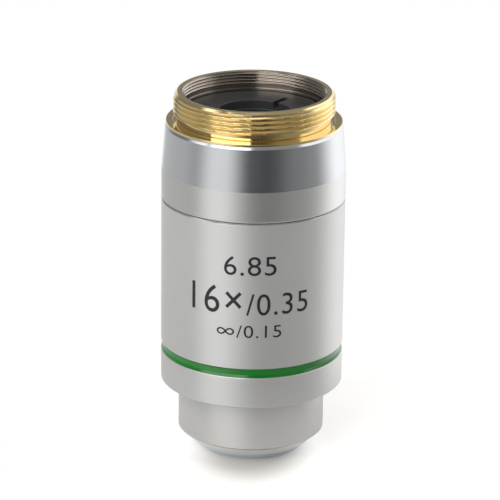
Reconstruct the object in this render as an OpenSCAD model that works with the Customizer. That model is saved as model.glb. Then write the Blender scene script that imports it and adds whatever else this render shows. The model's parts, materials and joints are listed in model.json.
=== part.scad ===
// Microscope objective with a spring-loaded optical barrel.
// The optical axis is Z. The flat front tip lies on Z = 0 and the mounting thread is at the top.
// Two bodies: the outer shell carries the thread, and the optical barrel with its nose slides up into it.

/* [Outer barrel] */
// Wall of the barrel and the sleeves, from the tube inside them to their outside
barrel_wall = 1.85; // [1.7:0.05:3.5]
// Height of the plain collar under the colour band
collar_h = 4.9; // [4.4:0.1:7]
// Width of the groove that holds the colour band
band_w = 1.6; // [1.2:0.1:2.4]
// Depth of the groove that holds the colour band
band_depth = 0.35; // [0.25:0.05:0.6]
// Thickness of the enamel in the groove
enamel_t = 0.08; // [0.04:0.01:0.14]
// Height of the plain barrel from the colour band to the seam
barrel_l = 23.35; // [21.5:0.05:28]
// Height of the seam between the barrel and the upper sleeve, with both its bevels
seam_w = 0.6; // [0.5:0.05:1]
// Size of the bevel on each side of the seam
seam_bevel = 0.18; // [0.1:0.01:0.22]
// Depth of the seam below the outer surface
seam_depth = 0.6; // [0.3:0.05:0.8]
// Break on the lower edge of the collar
collar_edge = 0.15; // [0.05:0.05:0.4]

/* [Upper sleeve] */
// Height of the straight part of the upper sleeve
sleeve_l = 4.5; // [4:0.1:7]
// Height of the polished cone of the upper sleeve
cone_h = 6.7; // [5.5:0.05:9]
// How far the cone draws in, on the radius
cone_in = 0.54; // [0.2:0.02:0.6]
// Height of the bright chamfer at the top of the sleeve
sleeve_chamfer_h = 0.3; // [0.2:0.05:0.6]
// Width of that chamfer, on the radius
sleeve_chamfer_w = 0.17; // [0.1:0.01:0.2]

/* [Mounting thread] */
// Outer diameter of the mounting thread; the walls and widths below work out all other diameters from it
thread_d = 25; // [21:0.1:29]
// Length of the threaded part
thread_l = 3.5; // [2.5:0.1:4.5]
// Height and width of the chamfer at the thread's free end
thread_chamfer = 0.6; // [0.3:0.05:0.8]
// Height and width of the thread's run-out into the neck
thread_runout = 0.2; // [0.1:0.05:0.45]
// Depth of the relief neck under the thread, on the radius
neck_depth = 0.5; // [0.46:0.02:0.8]
// Height of the relief neck
neck_h = 1; // [0.6:0.1:3]
// Thickness of the flange whose top is the seating shoulder
flange_t = 0.35; // [0.25:0.05:0.8]
// How far the seating shoulder stays clear of the thread's crests, on the radius
shoulder_clear = 0.05; // [0.03:0.01:0.2]
// Depth of the relief between the seating shoulder and the neck
shoulder_relief = 0.1; // [0.05:0.05:0.2]
// How far the flange stands back from the sleeve's top edge
flange_inset = 0.09; // [0.05:0.01:0.15]
// Wall from the mounting thread's crests to the crests of the fine thread in the mouth
mouth_wall = 1.55; // [1.3:0.05:2]
// Length of the fine thread inside the mouth
mouth_thread_l = 1.95; // [1.5:0.05:2.2]
// Depth of the relief under that fine thread, on the radius
mouth_relief = 0.2; // [0.1:0.05:0.3]
// Chamfer on the inner edge of the rim
mouth_chamfer = 0.2; // [0.05:0.05:0.3]

/* [Body tube] */
// Width of the ledge under the retaining ring
ring_ledge_w = 0.55; // [0.4:0.05:0.7]
// Wall of the body tube
tube_wall = 2; // [1.6:0.1:2.1]

/* [Retaining ring] */
// Depth of the retaining ring's face below the rim
ring_recess = 3.15; // [2.6:0.05:4.5]
// How far the retaining ring's face lies below the small ledge in the relief
ring_sink = 0.1; // [0.05:0.05:0.3]
// Height of the retaining ring
ring_h = 3; // [2.4:0.1:4]
// Break on the retaining ring's upper edge
ring_edge = 0.15; // [0.05:0.05:0.3]
// Width of the retaining ring, from its light hole to its outside
ring_w = 5.3; // [4.5:0.1:6.4]
// Width of the two spanner slots in the rings
spanner_w = 0.95; // [0.7:0.05:1.4]
// Depth of the spanner slots
spanner_depth = 1; // [0.6:0.1:1.4]
// Length of the retaining ring's spanner slots, from the hole outward
spanner_l = 3; // [2.4:0.1:4]
// Direction of the spanner slots round the axis
spanner_turn = 54; // [0:1:180]

/* [Nose] */
// Height of the nose sleeve below the collar
nose_l = 7.8; // [7:0.1:10]
// Break on the lower edge of the nose sleeve
nose_edge = 0.12; // [0.05:0.01:0.2]
// Step in from the nose sleeve to the front cell, on the radius
cap_step = 0.2; // [0.1:0.05:0.3]
// Height of the front cell's upper bevel
cap_bevel_h = 1.45; // [1:0.05:2.4]
// How far that bevel's lower edge stands in from the nose, on the radius
cap_bevel_in = 0.85; // [0.6:0.05:1.1]
// Height of the front cell's lower cone
tip_cone_h = 1.6; // [1:0.1:2.4]
// How far the flat tip's edge stands in from the nose, on the radius
tip_in = 2.78; // [2.2:0.02:3.4]
// Width of the countersink round the front lens, on the radius
tip_bore_w = 1.3; // [0.8:0.1:2]
// Thickness of the lip that holds the front lens, at the bottom of the countersink
tip_lip_t = 0.35; // [0.2:0.05:0.5]
// Length of the front cell's spigot inside the nose sleeve
spigot_l = 2.95; // [2.6:0.05:3.6]

/* [Spring stop] */
// Height of the ledge in the collar that stops the nose
stop_ledge_h = 2.65; // [2:0.05:3.4]
// Thickness of the shim that sets the parfocal distance
shim_t = 0.3; // [0.1:0.05:0.6]
// How far the nose sleeve's inner flange stands out from its outside, on the radius
stop_flange_w = 0.6; // [0.5:0.05:0.65]
// Thickness of the nose sleeve's inner flange
stop_flange_t = 1.5; // [1:0.1:2.4]
// How far the nose retracts
travel = 2; // [1:0.1:3]
// Free height left above the inner flange when the nose is fully in
end_gap = 0.4; // [0.3:0.1:1]

/* [Return spring] */
// Height of the spring as fitted
spring_l = 9; // [8:0.1:10]
// Diameter of the spring wire
wire_d = 0.9; // [0.6:0.05:1]
// Gap between the spring and the body tube's bore
spring_side_gap = 0.5; // [0.3:0.05:0.6]
// Turns that work, between the closed ends
active_turns = 3.5; // [3:0.5:5]

/* [Optical barrel] */
// Wall of the optical barrel, round the bore that takes the lens cells
optical_wall = 2.1; // [1.7:0.05:2.6]
// Height of the ledge that carries the lowest cell
stack_ledge_h = 1.5; // [1:0.1:2.2]
// Width of that ledge
stack_ledge_w = 1.4; // [1:0.1:1.6]
// Height of the guide land at the top of the optical barrel
land_h = 3; // [2:0.1:5]
// Width of the shoulder that seats on the nose sleeve
shoulder_w = 0.25; // [0.2:0.05:0.4]
// Depth of the stack ring below the optical barrel's top
stack_ring_recess = 1.1; // [0.6:0.1:1.6]
// Height of the stack ring
stack_ring_h = 2; // [1.6:0.1:2.4]
// Width of the stack ring, from its light hole to its outside
stack_ring_w = 2.17; // [1.8:0.01:3]
// Height of the lower spacer
spacer_lower_h = 2; // [1.4:0.1:2.6]
// Height of the middle spacer
spacer_middle_h = 1.5; // [1:0.1:2]
// Wall of the spacers
spacer_wall = 1.3; // [0.8:0.1:1.6]
// Thickness of the aperture stop
stop_t = 0.3; // [0.2:0.05:0.5]
// Width of the aperture stop, from its hole to its outside
stop_w = 3.77; // [3.2:0.01:4.4]

/* [Guide and centring screws] */
// Diameter of the guide screw's head
guide_head_d = 2; // [1.6:0.1:2.6]
// Diameter of the guide screw's shank
guide_shank_d = 1.4; // [1:0.1:1.5]
// Diameter of the centring screws
centring_d = 1.6; // [1.2:0.1:2]
// Number of centring screws
centring_count = 3; // [3:1:4]

/* [Lenses] */
// Wall of the front cell's spigot, round the front lens
front_wall = 5.52; // [5.2:0.01:5.8]
// Edge thickness of the front lens
front_edge_t = 2.6; // [2.2:0.1:3]
// Wall of the second lens's cell
second_wall = 2.34; // [2:0.01:2.6]
// Edge thickness of the second lens
second_edge_t = 1.4; // [1:0.1:1.8]
// Height of the second lens's cell
second_cell_h = 5; // [4.6:0.1:5.6]
// Wall of the first doublet's cell
cell1_wall = 1.74; // [1.6:0.01:2]
// Edge thickness of the first doublet's crown
crown1_edge_t = 0.9; // [0.6:0.1:1.1]
// Edge thickness of the first doublet's flint
flint1_edge_t = 3.2; // [3:0.1:3.4]
// Height of the first doublet's cell
cell1_h = 7; // [6.8:0.1:7.6]
// Wall of the second doublet's cell
cell2_wall = 1.67; // [1.6:0.01:2]
// Edge thickness of the second doublet's flint
flint2_edge_t = 3; // [2.8:0.1:3.2]
// Edge thickness of the second doublet's crown
crown2_edge_t = 0.6; // [0.5:0.1:0.8]
// Height of the second doublet's cell
cell2_h = 6.5; // [6.3:0.1:7]
// Wall of the rear doublet's cell
rear_wall = 2.54; // [2.2:0.01:2.8]
// Edge thickness of the rear doublet's crown
rear_crown_edge_t = 1.2; // [1:0.1:1.4]
// Edge thickness of the rear doublet's flint
rear_flint_edge_t = 2.6; // [2.4:0.1:2.8]
// Height of the rear doublet's cell
rear_cell_h = 5.5; // [5.2:0.1:6]
// Height of the seat in each lens cell
seat_h = 0.8; // [0.6:0.1:1]
// Width of the seat in each lens cell
seat_w = 0.7; // [0.4:0.05:0.9]

/* [Clearances] */
// Radial clearance of parts that are screwed or pushed together
fit_clear = 0.05; // [0.02:0.01:0.1]
// Radial clearance of parts that slide
slide_clear = 0.05; // [0.03:0.01:0.1]
// Radial clearance of a lens or a cell in its bore
cell_clear = 0.03; // [0.01:0.01:0.06]
// Radial play of the cell that is centred by screws
centring_play = 0.3; // [0.2:0.05:0.4]
// Radial gap between sliding parts away from their guides
relief_gap = 0.3; // [0.25:0.05:0.5]

/* [Hidden] */
$fn = 128;
// Overlap of cutting tools with the faces they cut through
over = 0.5;
// Play between a lens and the seat it rests on
seat_play = 0.01;

// Radii of the outer parts, from the mounting thread inward and then out to the barrel
thread_r = thread_d / 2;
neck_r = thread_r - neck_depth;
shoulder_r = thread_r + shoulder_clear;
mouth_r = thread_r - mouth_wall;
relief_bore_r = mouth_r + mouth_relief;
tube_bore_r = mouth_r - ring_ledge_w;
tube_r = tube_bore_r + tube_wall;
sleeve_bore_r = tube_r + fit_clear;
body_r = sleeve_bore_r + barrel_wall;
sleeve_top_r = body_r - cone_in - sleeve_chamfer_w;
flange_r = sleeve_top_r - flange_inset;
stop_flange_r = sleeve_bore_r - relief_gap - slide_clear;
nose_r = stop_flange_r - stop_flange_w;
collar_bore_r = nose_r + slide_clear;

// Radii of the sliding parts
land_r = tube_bore_r - slide_clear;
relief_r = tube_bore_r - relief_gap;
spigot_r = relief_r - shoulder_w;
nose_bore_r = spigot_r + fit_clear;
cell_bore_r = relief_r - optical_wall;
cell_r = cell_bore_r - cell_clear;
centring_cell_r = cell_bore_r - centring_play;
spacer_bore_r = cell_r - spacer_wall;

// Radii of the lenses
front_lens_r = spigot_r - front_wall - cell_clear;
second_lens_r = cell_r - second_wall - cell_clear;
doublet1_r = cell_r - cell1_wall - cell_clear;
doublet2_r = centring_cell_r - cell2_wall - cell_clear;
rear_lens_r = cell_r - rear_wall - cell_clear;

// Radii of curvature of the lens faces, in order from the tip, each worked out from its lens's radius
front_r1 = 3.25 * front_lens_r;
front_r2 = 1.75 * front_lens_r;
second_r1 = 2.85 * second_lens_r;
second_r2 = 1.6 * second_lens_r;
doublet1_r1 = 2.25 * doublet1_r;
doublet1_r2 = 1.55 * doublet1_r;
doublet1_r3 = 2.6 * doublet1_r;
doublet2_r1 = 3.3 * doublet2_r;
doublet2_r2 = 1.4 * doublet2_r;
doublet2_r3 = 2.35 * doublet2_r;
rear_r1 = 2.2 * rear_lens_r;
rear_r2 = 5.5 * rear_lens_r;
rear_r3 = 2.6 * rear_lens_r;

// Heights of the outside, from the tip up
z_bevel = tip_cone_h;
z_nose = z_bevel + cap_bevel_h;
z_collar = z_nose + nose_l;
z_band = z_collar + collar_h;
z_band_top = z_band + band_w;
z_seam = z_band_top + barrel_l;
z_barrel_top = z_seam + seam_bevel;
z_sleeve = z_seam + seam_w;
z_sleeve_foot = z_sleeve - seam_bevel;
z_cone = z_sleeve + sleeve_l;
z_cone_top = z_cone + cone_h;
z_sleeve_top = z_cone_top + sleeve_chamfer_h;
z_shoulder = z_sleeve_top + flange_t;
z_thread = z_shoulder + neck_h;
z_rim = z_thread + thread_l;

// Heights of the spring stop, the tube and the rings
z_ledge = z_collar + stop_ledge_h;
z_stop = z_ledge + shim_t;
z_stop_top = z_stop + stop_flange_t;
z_tube = z_stop_top + travel + end_gap;
z_mouth_thread = z_rim - mouth_thread_l;
z_ring_face = z_rim - ring_recess;
z_ring_ledge = z_ring_face + ring_sink;
z_ring = z_ring_face - ring_h;
z_land_top = z_ring - spring_l;
z_land = z_land_top - land_h;

// Heights of the lens stack
z_spigot_top = z_nose + spigot_l;
z_stack = z_spigot_top + stack_ledge_h;
z_spacer_lower = z_stack + second_cell_h;
z_cell1 = z_spacer_lower + spacer_lower_h;
z_spacer_middle = z_cell1 + cell1_h;
z_cell2 = z_spacer_middle + spacer_middle_h;
z_spacer_upper = z_cell2 + cell2_h;
z_stack_ring_top = z_land_top - stack_ring_recess;
z_rear_cell_top = z_stack_ring_top - stack_ring_h;
z_rear_cell = z_rear_cell_top - rear_cell_h;
z_stop_disc = z_rear_cell - stop_t;
z_guide = (z_spacer_upper + z_stop_disc) / 2;
z_centring = z_cell2 + cell2_h / 2;

// The guide screw's head, its slot and the direction they face
guide_turn = 90;
guide_tip_r = tube_r - relief_gap;
guide_slot_end = 0.3;
driver_slot_w = 0.35;
driver_slot_depth = 0.4;
// Wall left between a screw's inner end and the bore it must not enter
screw_tip_wall = 0.4;

// The enamel groove: how high its sloped lower and upper sides are
band_slope_low = 0.45;
band_slope_high = 0.2;

// The spring: its closed ends and how finely its helix is divided
closed_turns = 1;
spring_steps = 18;
wire_sides = 8;
// Rise of the closed turns for each turn, so that they just clear each other
closed_pitch = 1.03 * wire_d;

// Depth of the rounded edge of a spherical face of radius r at half-diameter a
function sag(r, a) = r - sqrt(r * r - a * a);

// Height of a convex lens's edge above a seat of inner radius a
function seat_rise(r, edge_r, a) = sag(r, edge_r) - sag(r, a) + seat_play;

// A turned part: the outline lists radius and height
module turned(outline) {
    rotate_extrude() polygon(outline);
}

// A plain ring
module ring(z, h, inner_r, outer_r) {
    turned([[inner_r, z], [outer_r, z], [outer_r, z + h], [inner_r, z + h]]);
}

// A lens cell: a ring with a seat at its foot and a bore for the lens above it
module lens_cell(z, h, outer_r, lens_r) {
    bore_r = lens_r + cell_clear;
    turned([
        [lens_r - seat_w, z], [outer_r, z], [outer_r, z + h],
        [bore_r, z + h], [bore_r, z + seat_h], [lens_r - seat_w, z + seat_h]
    ]);
}

// The space below a spherical or flat upper face whose edge is at height z
module below_face(z, lens_r, r) {
    if (r > 0)
        translate([0, 0, z + sag(r, lens_r) - r]) sphere(r = r);
    else
        translate([0, 0, z - 4 * lens_r]) cylinder(r = 2 * lens_r, h = 4 * lens_r);
}

// The space above a spherical or flat lower face whose edge is at height z
module above_face(z, lens_r, r) {
    if (r > 0)
        translate([0, 0, z - sag(r, lens_r) + r]) sphere(r = r);
    else
        translate([0, 0, z]) cylinder(r = 2 * lens_r, h = 4 * lens_r);
}

// A lens with its lower edge at height z. A positive radius bulges outward and a negative one is hollow.
module lens(z, lens_r, edge_t, r_low, r_high) {
    bulge_low = r_low > 0 ? sag(r_low, lens_r) : 0;
    bulge_high = r_high > 0 ? sag(r_high, lens_r) : 0;
    difference() {
        intersection() {
            translate([0, 0, z - bulge_low]) cylinder(r = lens_r, h = edge_t + bulge_low + bulge_high);
            above_face(z, lens_r, r_low);
            below_face(z + edge_t, lens_r, r_high);
        }
        if (r_low < 0)
            translate([0, 0, z + sag(-r_low, lens_r) + r_low]) sphere(r = -r_low);
        if (r_high < 0)
            translate([0, 0, z + edge_t - sag(-r_high, lens_r) - r_high]) sphere(r = -r_high);
    }
}

// A cylinder that points outward from the axis, from radius r0 to radius r1
module radial_pin(turn, z, r0, r1, d) {
    rotate([0, 0, turn]) translate([r0, 0, z]) rotate([0, 90, 0]) cylinder(d = d, h = r1 - r0);
}

// Two spanner slots across a ring's top face
module spanner_slots(top_z, reach_r) {
    rotate([0, 0, spanner_turn])
        translate([-reach_r, -spanner_w / 2, top_z - spanner_depth])
            cube([2 * reach_r, spanner_w, spanner_depth + over]);
}

// One point on the spring's centre line after a number of turns
function spring_height(turns) =
    turns < closed_turns ? closed_pitch * turns
    : turns > closed_turns + active_turns
        ? spring_l - closed_pitch * (2 * closed_turns + active_turns - turns)
        : closed_pitch * closed_turns
            + (spring_l - 2 * closed_pitch * closed_turns) * (turns - closed_turns) / active_turns;

// The brass body tube: mounting thread, neck, flange and the long tube that carries the sleeves
module body_tube() {
    slot_w = guide_head_d + 2 * slide_clear;
    color("goldenrod") difference() {
        turned([
            [tube_bore_r, z_tube], [tube_r, z_tube], [tube_r, z_sleeve_top], [flange_r, z_sleeve_top],
            [flange_r, z_shoulder], [shoulder_r, z_shoulder], [shoulder_r, z_shoulder - shoulder_relief],
            [neck_r, z_shoulder - shoulder_relief], [neck_r, z_thread],
            [thread_r, z_thread + thread_runout], [thread_r, z_rim - thread_chamfer],
            [thread_r - thread_chamfer, z_rim], [mouth_r + mouth_chamfer, z_rim],
            [mouth_r, z_rim - mouth_chamfer], [mouth_r, z_mouth_thread],
            [relief_bore_r, z_mouth_thread - mouth_relief], [relief_bore_r, z_ring_ledge],
            [mouth_r, z_ring_ledge], [mouth_r, z_ring], [tube_bore_r, z_ring]
        ]);
        radial_pin(guide_turn, z_guide - guide_slot_end, tube_bore_r - over, tube_r + over, slot_w);
        radial_pin(guide_turn, z_guide + travel + guide_slot_end, tube_bore_r - over, tube_r + over, slot_w);
        rotate([0, 0, guide_turn])
            translate([tube_bore_r - over, -slot_w / 2, z_guide - guide_slot_end])
                cube([tube_wall + 2 * over, slot_w, travel + 2 * guide_slot_end]);
    }
}

// The bright upper sleeve with its polished cone
module upper_sleeve() {
    color("silver") turned([
        [sleeve_bore_r, z_sleeve_foot], [body_r - seam_bevel, z_sleeve_foot], [body_r, z_sleeve],
        [body_r, z_cone], [body_r - cone_in, z_cone_top], [sleeve_top_r, z_sleeve_top],
        [sleeve_bore_r, z_sleeve_top]
    ]);
}

// The satin main barrel: collar, colour groove, plain barrel and the register under the upper sleeve
module main_barrel() {
    groove_r = body_r - band_depth;
    color("gainsboro") turned([
        [collar_bore_r, z_collar], [body_r - collar_edge, z_collar], [body_r, z_collar + collar_edge],
        [body_r, z_band], [groove_r, z_band + band_slope_low],
        [groove_r, z_band_top - band_slope_high], [body_r, z_band_top],
        [body_r, z_seam], [body_r - seam_bevel, z_barrel_top], [body_r - seam_depth, z_barrel_top],
        [body_r - seam_depth, z_sleeve_foot], [sleeve_bore_r, z_sleeve_foot],
        [sleeve_bore_r, z_ledge], [collar_bore_r, z_ledge]
    ]);
}

// The green enamel that lines the groove
module colour_ring() {
    groove_r = body_r - band_depth;
    color("forestgreen") turned([
        [body_r, z_band], [groove_r, z_band + band_slope_low],
        [groove_r, z_band_top - band_slope_high], [body_r, z_band_top],
        [groove_r + enamel_t, z_band_top - band_slope_high - enamel_t],
        [groove_r + enamel_t, z_band + band_slope_low + enamel_t]
    ]);
}

// The black slotted ring that holds the spring down
module retaining_ring() {
    outer_r = mouth_r - fit_clear;
    hole_r = outer_r - ring_w;
    color("dimgray") difference() {
        turned([
            [hole_r, z_ring], [outer_r, z_ring], [outer_r, z_ring_face - ring_edge],
            [outer_r - ring_edge, z_ring_face], [hole_r, z_ring_face]
        ]);
        spanner_slots(z_ring_face, hole_r + spanner_l);
    }
}

// The thin shim under the nose's flange that sets the parfocal distance
module parfocal_shim() {
    shim_bore_r = collar_bore_r + relief_gap - slide_clear - fit_clear;
    color("khaki") ring(z_ledge, shim_t, shim_bore_r, sleeve_bore_r - 2 * fit_clear);
}

// The return spring, closed and ground flat at both ends
module return_spring() {
    wire_r = wire_d / 2;
    mean_r = tube_bore_r - spring_side_gap - wire_r;
    turns = 2 * closed_turns + active_turns;
    rings = ceil(turns * spring_steps);
    points = [
        for (i = [0 : rings], j = [0 : wire_sides - 1])
            let (
                t = turns * i / rings,
                side = 360 * (j + 0.5) / wire_sides,
                r = mean_r + wire_r * cos(side)
            )
            [r * cos(360 * t), r * sin(360 * t), spring_height(t) + wire_r * sin(side)]
    ];
    walls = [
        for (i = [0 : rings - 1], j = [0 : wire_sides - 1])
            let (k = (j + 1) % wire_sides, a = i * wire_sides, b = a + wire_sides)
            [a + j, b + j, b + k, a + k]
    ];
    start = [for (j = [0 : wire_sides - 1]) j];
    finish = [for (j = [wire_sides - 1 : -1 : 0]) rings * wire_sides + j];
    color("lightsteelblue") translate([0, 0, z_land_top]) intersection() {
        polyhedron(points, concat([start], walls, [finish]));
        cylinder(r = tube_bore_r, h = spring_l);
    }
}

// The nose sleeve, which slides in the collar and stops on the shim
module nose_sleeve() {
    color("gainsboro") turned([
        [nose_bore_r, z_nose], [nose_r - nose_edge, z_nose], [nose_r, z_nose + nose_edge],
        [nose_r, z_stop], [stop_flange_r, z_stop], [stop_flange_r, z_stop_top], [nose_bore_r, z_stop_top]
    ]);
}

// The front cell, whose bevels form the tip
module front_cell() {
    bore_r = front_lens_r + cell_clear;
    clear_r = front_lens_r - seat_w / 2;
    color("lightgray") turned([
        [front_lens_r + tip_bore_w, 0], [nose_r - tip_in, 0], [nose_r - cap_bevel_in, z_bevel],
        [nose_r - cap_step, z_nose], [spigot_r, z_nose], [spigot_r, z_spigot_top],
        [bore_r, z_spigot_top], [bore_r, seat_h], [clear_r, seat_h], [clear_r, seat_h - tip_lip_t]
    ]);
}

// The front lens, hollow towards the object
module front_lens() {
    color("lightblue")
        lens(seat_h + seat_play, front_lens_r, front_edge_t, -front_r1, front_r2);
}

// The tube that carries the lens cells and slides in the body tube
module optical_barrel() {
    ledge_r = cell_bore_r - stack_ledge_w;
    color("darkgray") difference() {
        turned([
            [ledge_r, z_spigot_top], [spigot_r, z_spigot_top], [spigot_r, z_stop_top],
            [relief_r, z_stop_top], [relief_r, z_land], [land_r, z_land], [land_r, z_land_top],
            [cell_bore_r, z_land_top], [cell_bore_r, z_stack], [ledge_r, z_stack]
        ]);
        radial_pin(guide_turn, z_guide, cell_bore_r - over, relief_r + over, guide_shank_d);
        for (i = [0 : centring_count - 1])
            radial_pin(360 * i / centring_count, z_centring, cell_bore_r - over, relief_r + over, centring_d);
    }
}

// The screw whose head runs in the body tube's slot and keeps the barrel from turning
module guide_screw() {
    color("slategray") difference() {
        union() {
            radial_pin(guide_turn, z_guide, cell_bore_r + screw_tip_wall, relief_r + over, guide_shank_d);
            radial_pin(guide_turn, z_guide, relief_r, guide_tip_r, guide_head_d);
        }
        rotate([0, 0, guide_turn])
            translate([guide_tip_r - driver_slot_depth, -guide_head_d, z_guide - driver_slot_w / 2])
                cube([driver_slot_depth + over, 2 * guide_head_d, driver_slot_w]);
    }
}

// The grub screws that centre one lens cell
module centring_screws() {
    tip_r = relief_r - screw_tip_wall / 2;
    color("slategray") for (i = [0 : centring_count - 1])
        difference() {
            radial_pin(360 * i / centring_count, z_centring, centring_cell_r, tip_r, centring_d);
            rotate([0, 0, 360 * i / centring_count])
                translate([tip_r - driver_slot_depth, -centring_d, z_centring - driver_slot_w / 2])
                    cube([driver_slot_depth + over, 2 * centring_d, driver_slot_w]);
        }
}

// Cell and lens above the front lens
module second_cell() {
    color("darkgray") lens_cell(z_stack, second_cell_h, cell_r, second_lens_r);
}

module second_lens() {
    color("lightblue")
        lens(z_stack + seat_h + seat_play, second_lens_r, second_edge_t, -second_r1, second_r2);
}

module lower_spacer() {
    color("dimgray") ring(z_spacer_lower, spacer_lower_h, spacer_bore_r, cell_r);
}

// First cemented doublet: the crown is below the flint
module first_doublet_cell() {
    color("darkgray") lens_cell(z_cell1, cell1_h, cell_r, doublet1_r);
}

function first_edge_z() =
    z_cell1 + seat_h + seat_rise(doublet1_r1, doublet1_r, doublet1_r - seat_w);

module first_crown() {
    color("lightblue") lens(first_edge_z(), doublet1_r, crown1_edge_t, doublet1_r1, doublet1_r2);
}

module first_flint() {
    color("lightcyan")
        lens(first_edge_z() + crown1_edge_t, doublet1_r, flint1_edge_t, -doublet1_r2, doublet1_r3);
}

module middle_spacer() {
    color("dimgray") ring(z_spacer_middle, spacer_middle_h, spacer_bore_r, cell_r);
}

// Second cemented doublet, in the cell that the screws centre: the flint is below the crown
module centring_cell() {
    color("darkgray") lens_cell(z_cell2, cell2_h, centring_cell_r, doublet2_r);
}

function second_edge_z() =
    z_cell2 + seat_h + seat_rise(doublet2_r1, doublet2_r, doublet2_r - seat_w);

module second_flint() {
    color("lightcyan") lens(second_edge_z(), doublet2_r, flint2_edge_t, doublet2_r1, -doublet2_r2);
}

module second_crown() {
    color("lightblue")
        lens(second_edge_z() + flint2_edge_t, doublet2_r, crown2_edge_t, doublet2_r2, doublet2_r3);
}

module upper_spacer() {
    color("dimgray") ring(z_spacer_upper, z_stop_disc - z_spacer_upper, spacer_bore_r, cell_r);
}

// The thin disc whose hole limits the light beam
module aperture_stop() {
    color("black") ring(z_stop_disc, stop_t, cell_r - stop_w, cell_r);
}

// Rear cemented doublet, which diverges: the crown is below the flint
module rear_cell() {
    color("darkgray") lens_cell(z_rear_cell, rear_cell_h, cell_r, rear_lens_r);
}

function rear_edge_z() =
    z_rear_cell + seat_h + seat_rise(rear_r1, rear_lens_r, rear_lens_r - seat_w);

module rear_crown() {
    color("lightblue") lens(rear_edge_z(), rear_lens_r, rear_crown_edge_t, rear_r1, rear_r2);
}

module rear_flint() {
    color("lightcyan")
        lens(rear_edge_z() + rear_crown_edge_t, rear_lens_r, rear_flint_edge_t, -rear_r2, -rear_r3);
}

// The slotted ring that clamps the lens stack
module stack_ring() {
    color("dimgray") difference() {
        ring(z_rear_cell_top, stack_ring_h, cell_r - stack_ring_w, cell_r);
        spanner_slots(z_stack_ring_top, cell_r + over);
    }
}

body_tube();
upper_sleeve();
main_barrel();
colour_ring();
retaining_ring();
parfocal_shim();
return_spring();
nose_sleeve();
front_cell();
front_lens();
optical_barrel();
guide_screw();
centring_screws();
second_cell();
second_lens();
lower_spacer();
first_doublet_cell();
first_crown();
first_flint();
middle_spacer();
centring_cell();
second_crown();
second_flint();
upper_spacer();
aperture_stop();
rear_cell();
rear_crown();
rear_flint();
stack_ring();
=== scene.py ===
"""Looks of the microscope objective: turned metal pieces, threads, lenses, numerals and the studio round them."""

import json
import logging
import math
from dataclasses import dataclass
from enum import Enum
from typing import Sequence

import bmesh
import bpy
import numpy as np
from mathutils import Euler, Matrix, Vector


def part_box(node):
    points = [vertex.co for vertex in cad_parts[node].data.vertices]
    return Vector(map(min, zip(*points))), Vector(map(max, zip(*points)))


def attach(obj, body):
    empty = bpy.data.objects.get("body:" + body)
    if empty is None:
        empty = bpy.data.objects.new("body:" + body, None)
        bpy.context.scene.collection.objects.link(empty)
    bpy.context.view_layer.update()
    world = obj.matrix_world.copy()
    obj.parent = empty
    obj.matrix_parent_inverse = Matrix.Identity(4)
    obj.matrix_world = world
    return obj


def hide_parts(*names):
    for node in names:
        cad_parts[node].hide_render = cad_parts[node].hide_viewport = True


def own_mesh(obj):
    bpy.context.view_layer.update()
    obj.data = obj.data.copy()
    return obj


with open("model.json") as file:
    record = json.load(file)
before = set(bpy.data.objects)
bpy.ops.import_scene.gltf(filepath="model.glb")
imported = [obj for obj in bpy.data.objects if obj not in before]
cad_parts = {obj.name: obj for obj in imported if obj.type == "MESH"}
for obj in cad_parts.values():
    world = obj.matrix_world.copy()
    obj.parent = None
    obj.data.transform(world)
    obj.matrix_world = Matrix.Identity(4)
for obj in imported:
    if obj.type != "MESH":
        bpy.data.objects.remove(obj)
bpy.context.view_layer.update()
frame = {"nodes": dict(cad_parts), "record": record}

LOG = logging.getLogger("objective")

MM = 0.001
AROUND = 320
LENS_AROUND = 160
FRONT = -math.pi / 2
SHARP_FROM = math.radians(50)
DEGREES = 180.0 / math.pi
WHITE = (1.0, 1.0, 1.0, 1.0)

# Where a piece's colour or roughness changes, in metres
MOUTH_EDGE_R = 11.3 * MM
CONE_FOOT_Z = 45.8 * MM
# Above this the barrel's upper edge by the seam takes a darker colour, which is painted shade
BARREL_EDGE_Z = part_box("upper_sleeve")[0].z - 0.53 * MM
# Below this the front cell's chrome is tinted blue as painted reflection; above it, whitened as painted sheen
TIP_EDGE_Z = 1.1 * MM
# Foot of the enamel, near which it takes a darker colour as painted shade
ENAMEL_FOOT_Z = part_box("colour_ring")[0].z

Colour = tuple[float, float, float]
Point = tuple[float, float]
Range = tuple[float, float]
Socket = bpy.types.NodeSocket
Value = float | Socket


class Body(Enum):
    """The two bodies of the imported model."""

    SHELL = "shell"
    NOSE = "nose"


class Lay(Enum):
    """How the tool marks of a metal finish run."""

    TURNED = "round the axis"
    PLAIN = "in no direction"


class Measure(Enum):
    """What sets a zone of a finish apart."""

    HEIGHT = "under a height"
    RADIUS = "inside a radius"


class Side(Enum):
    """Which wall of a tube a thread is cut in."""

    OUTSIDE = 1.0
    INSIDE = -1.0


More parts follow.
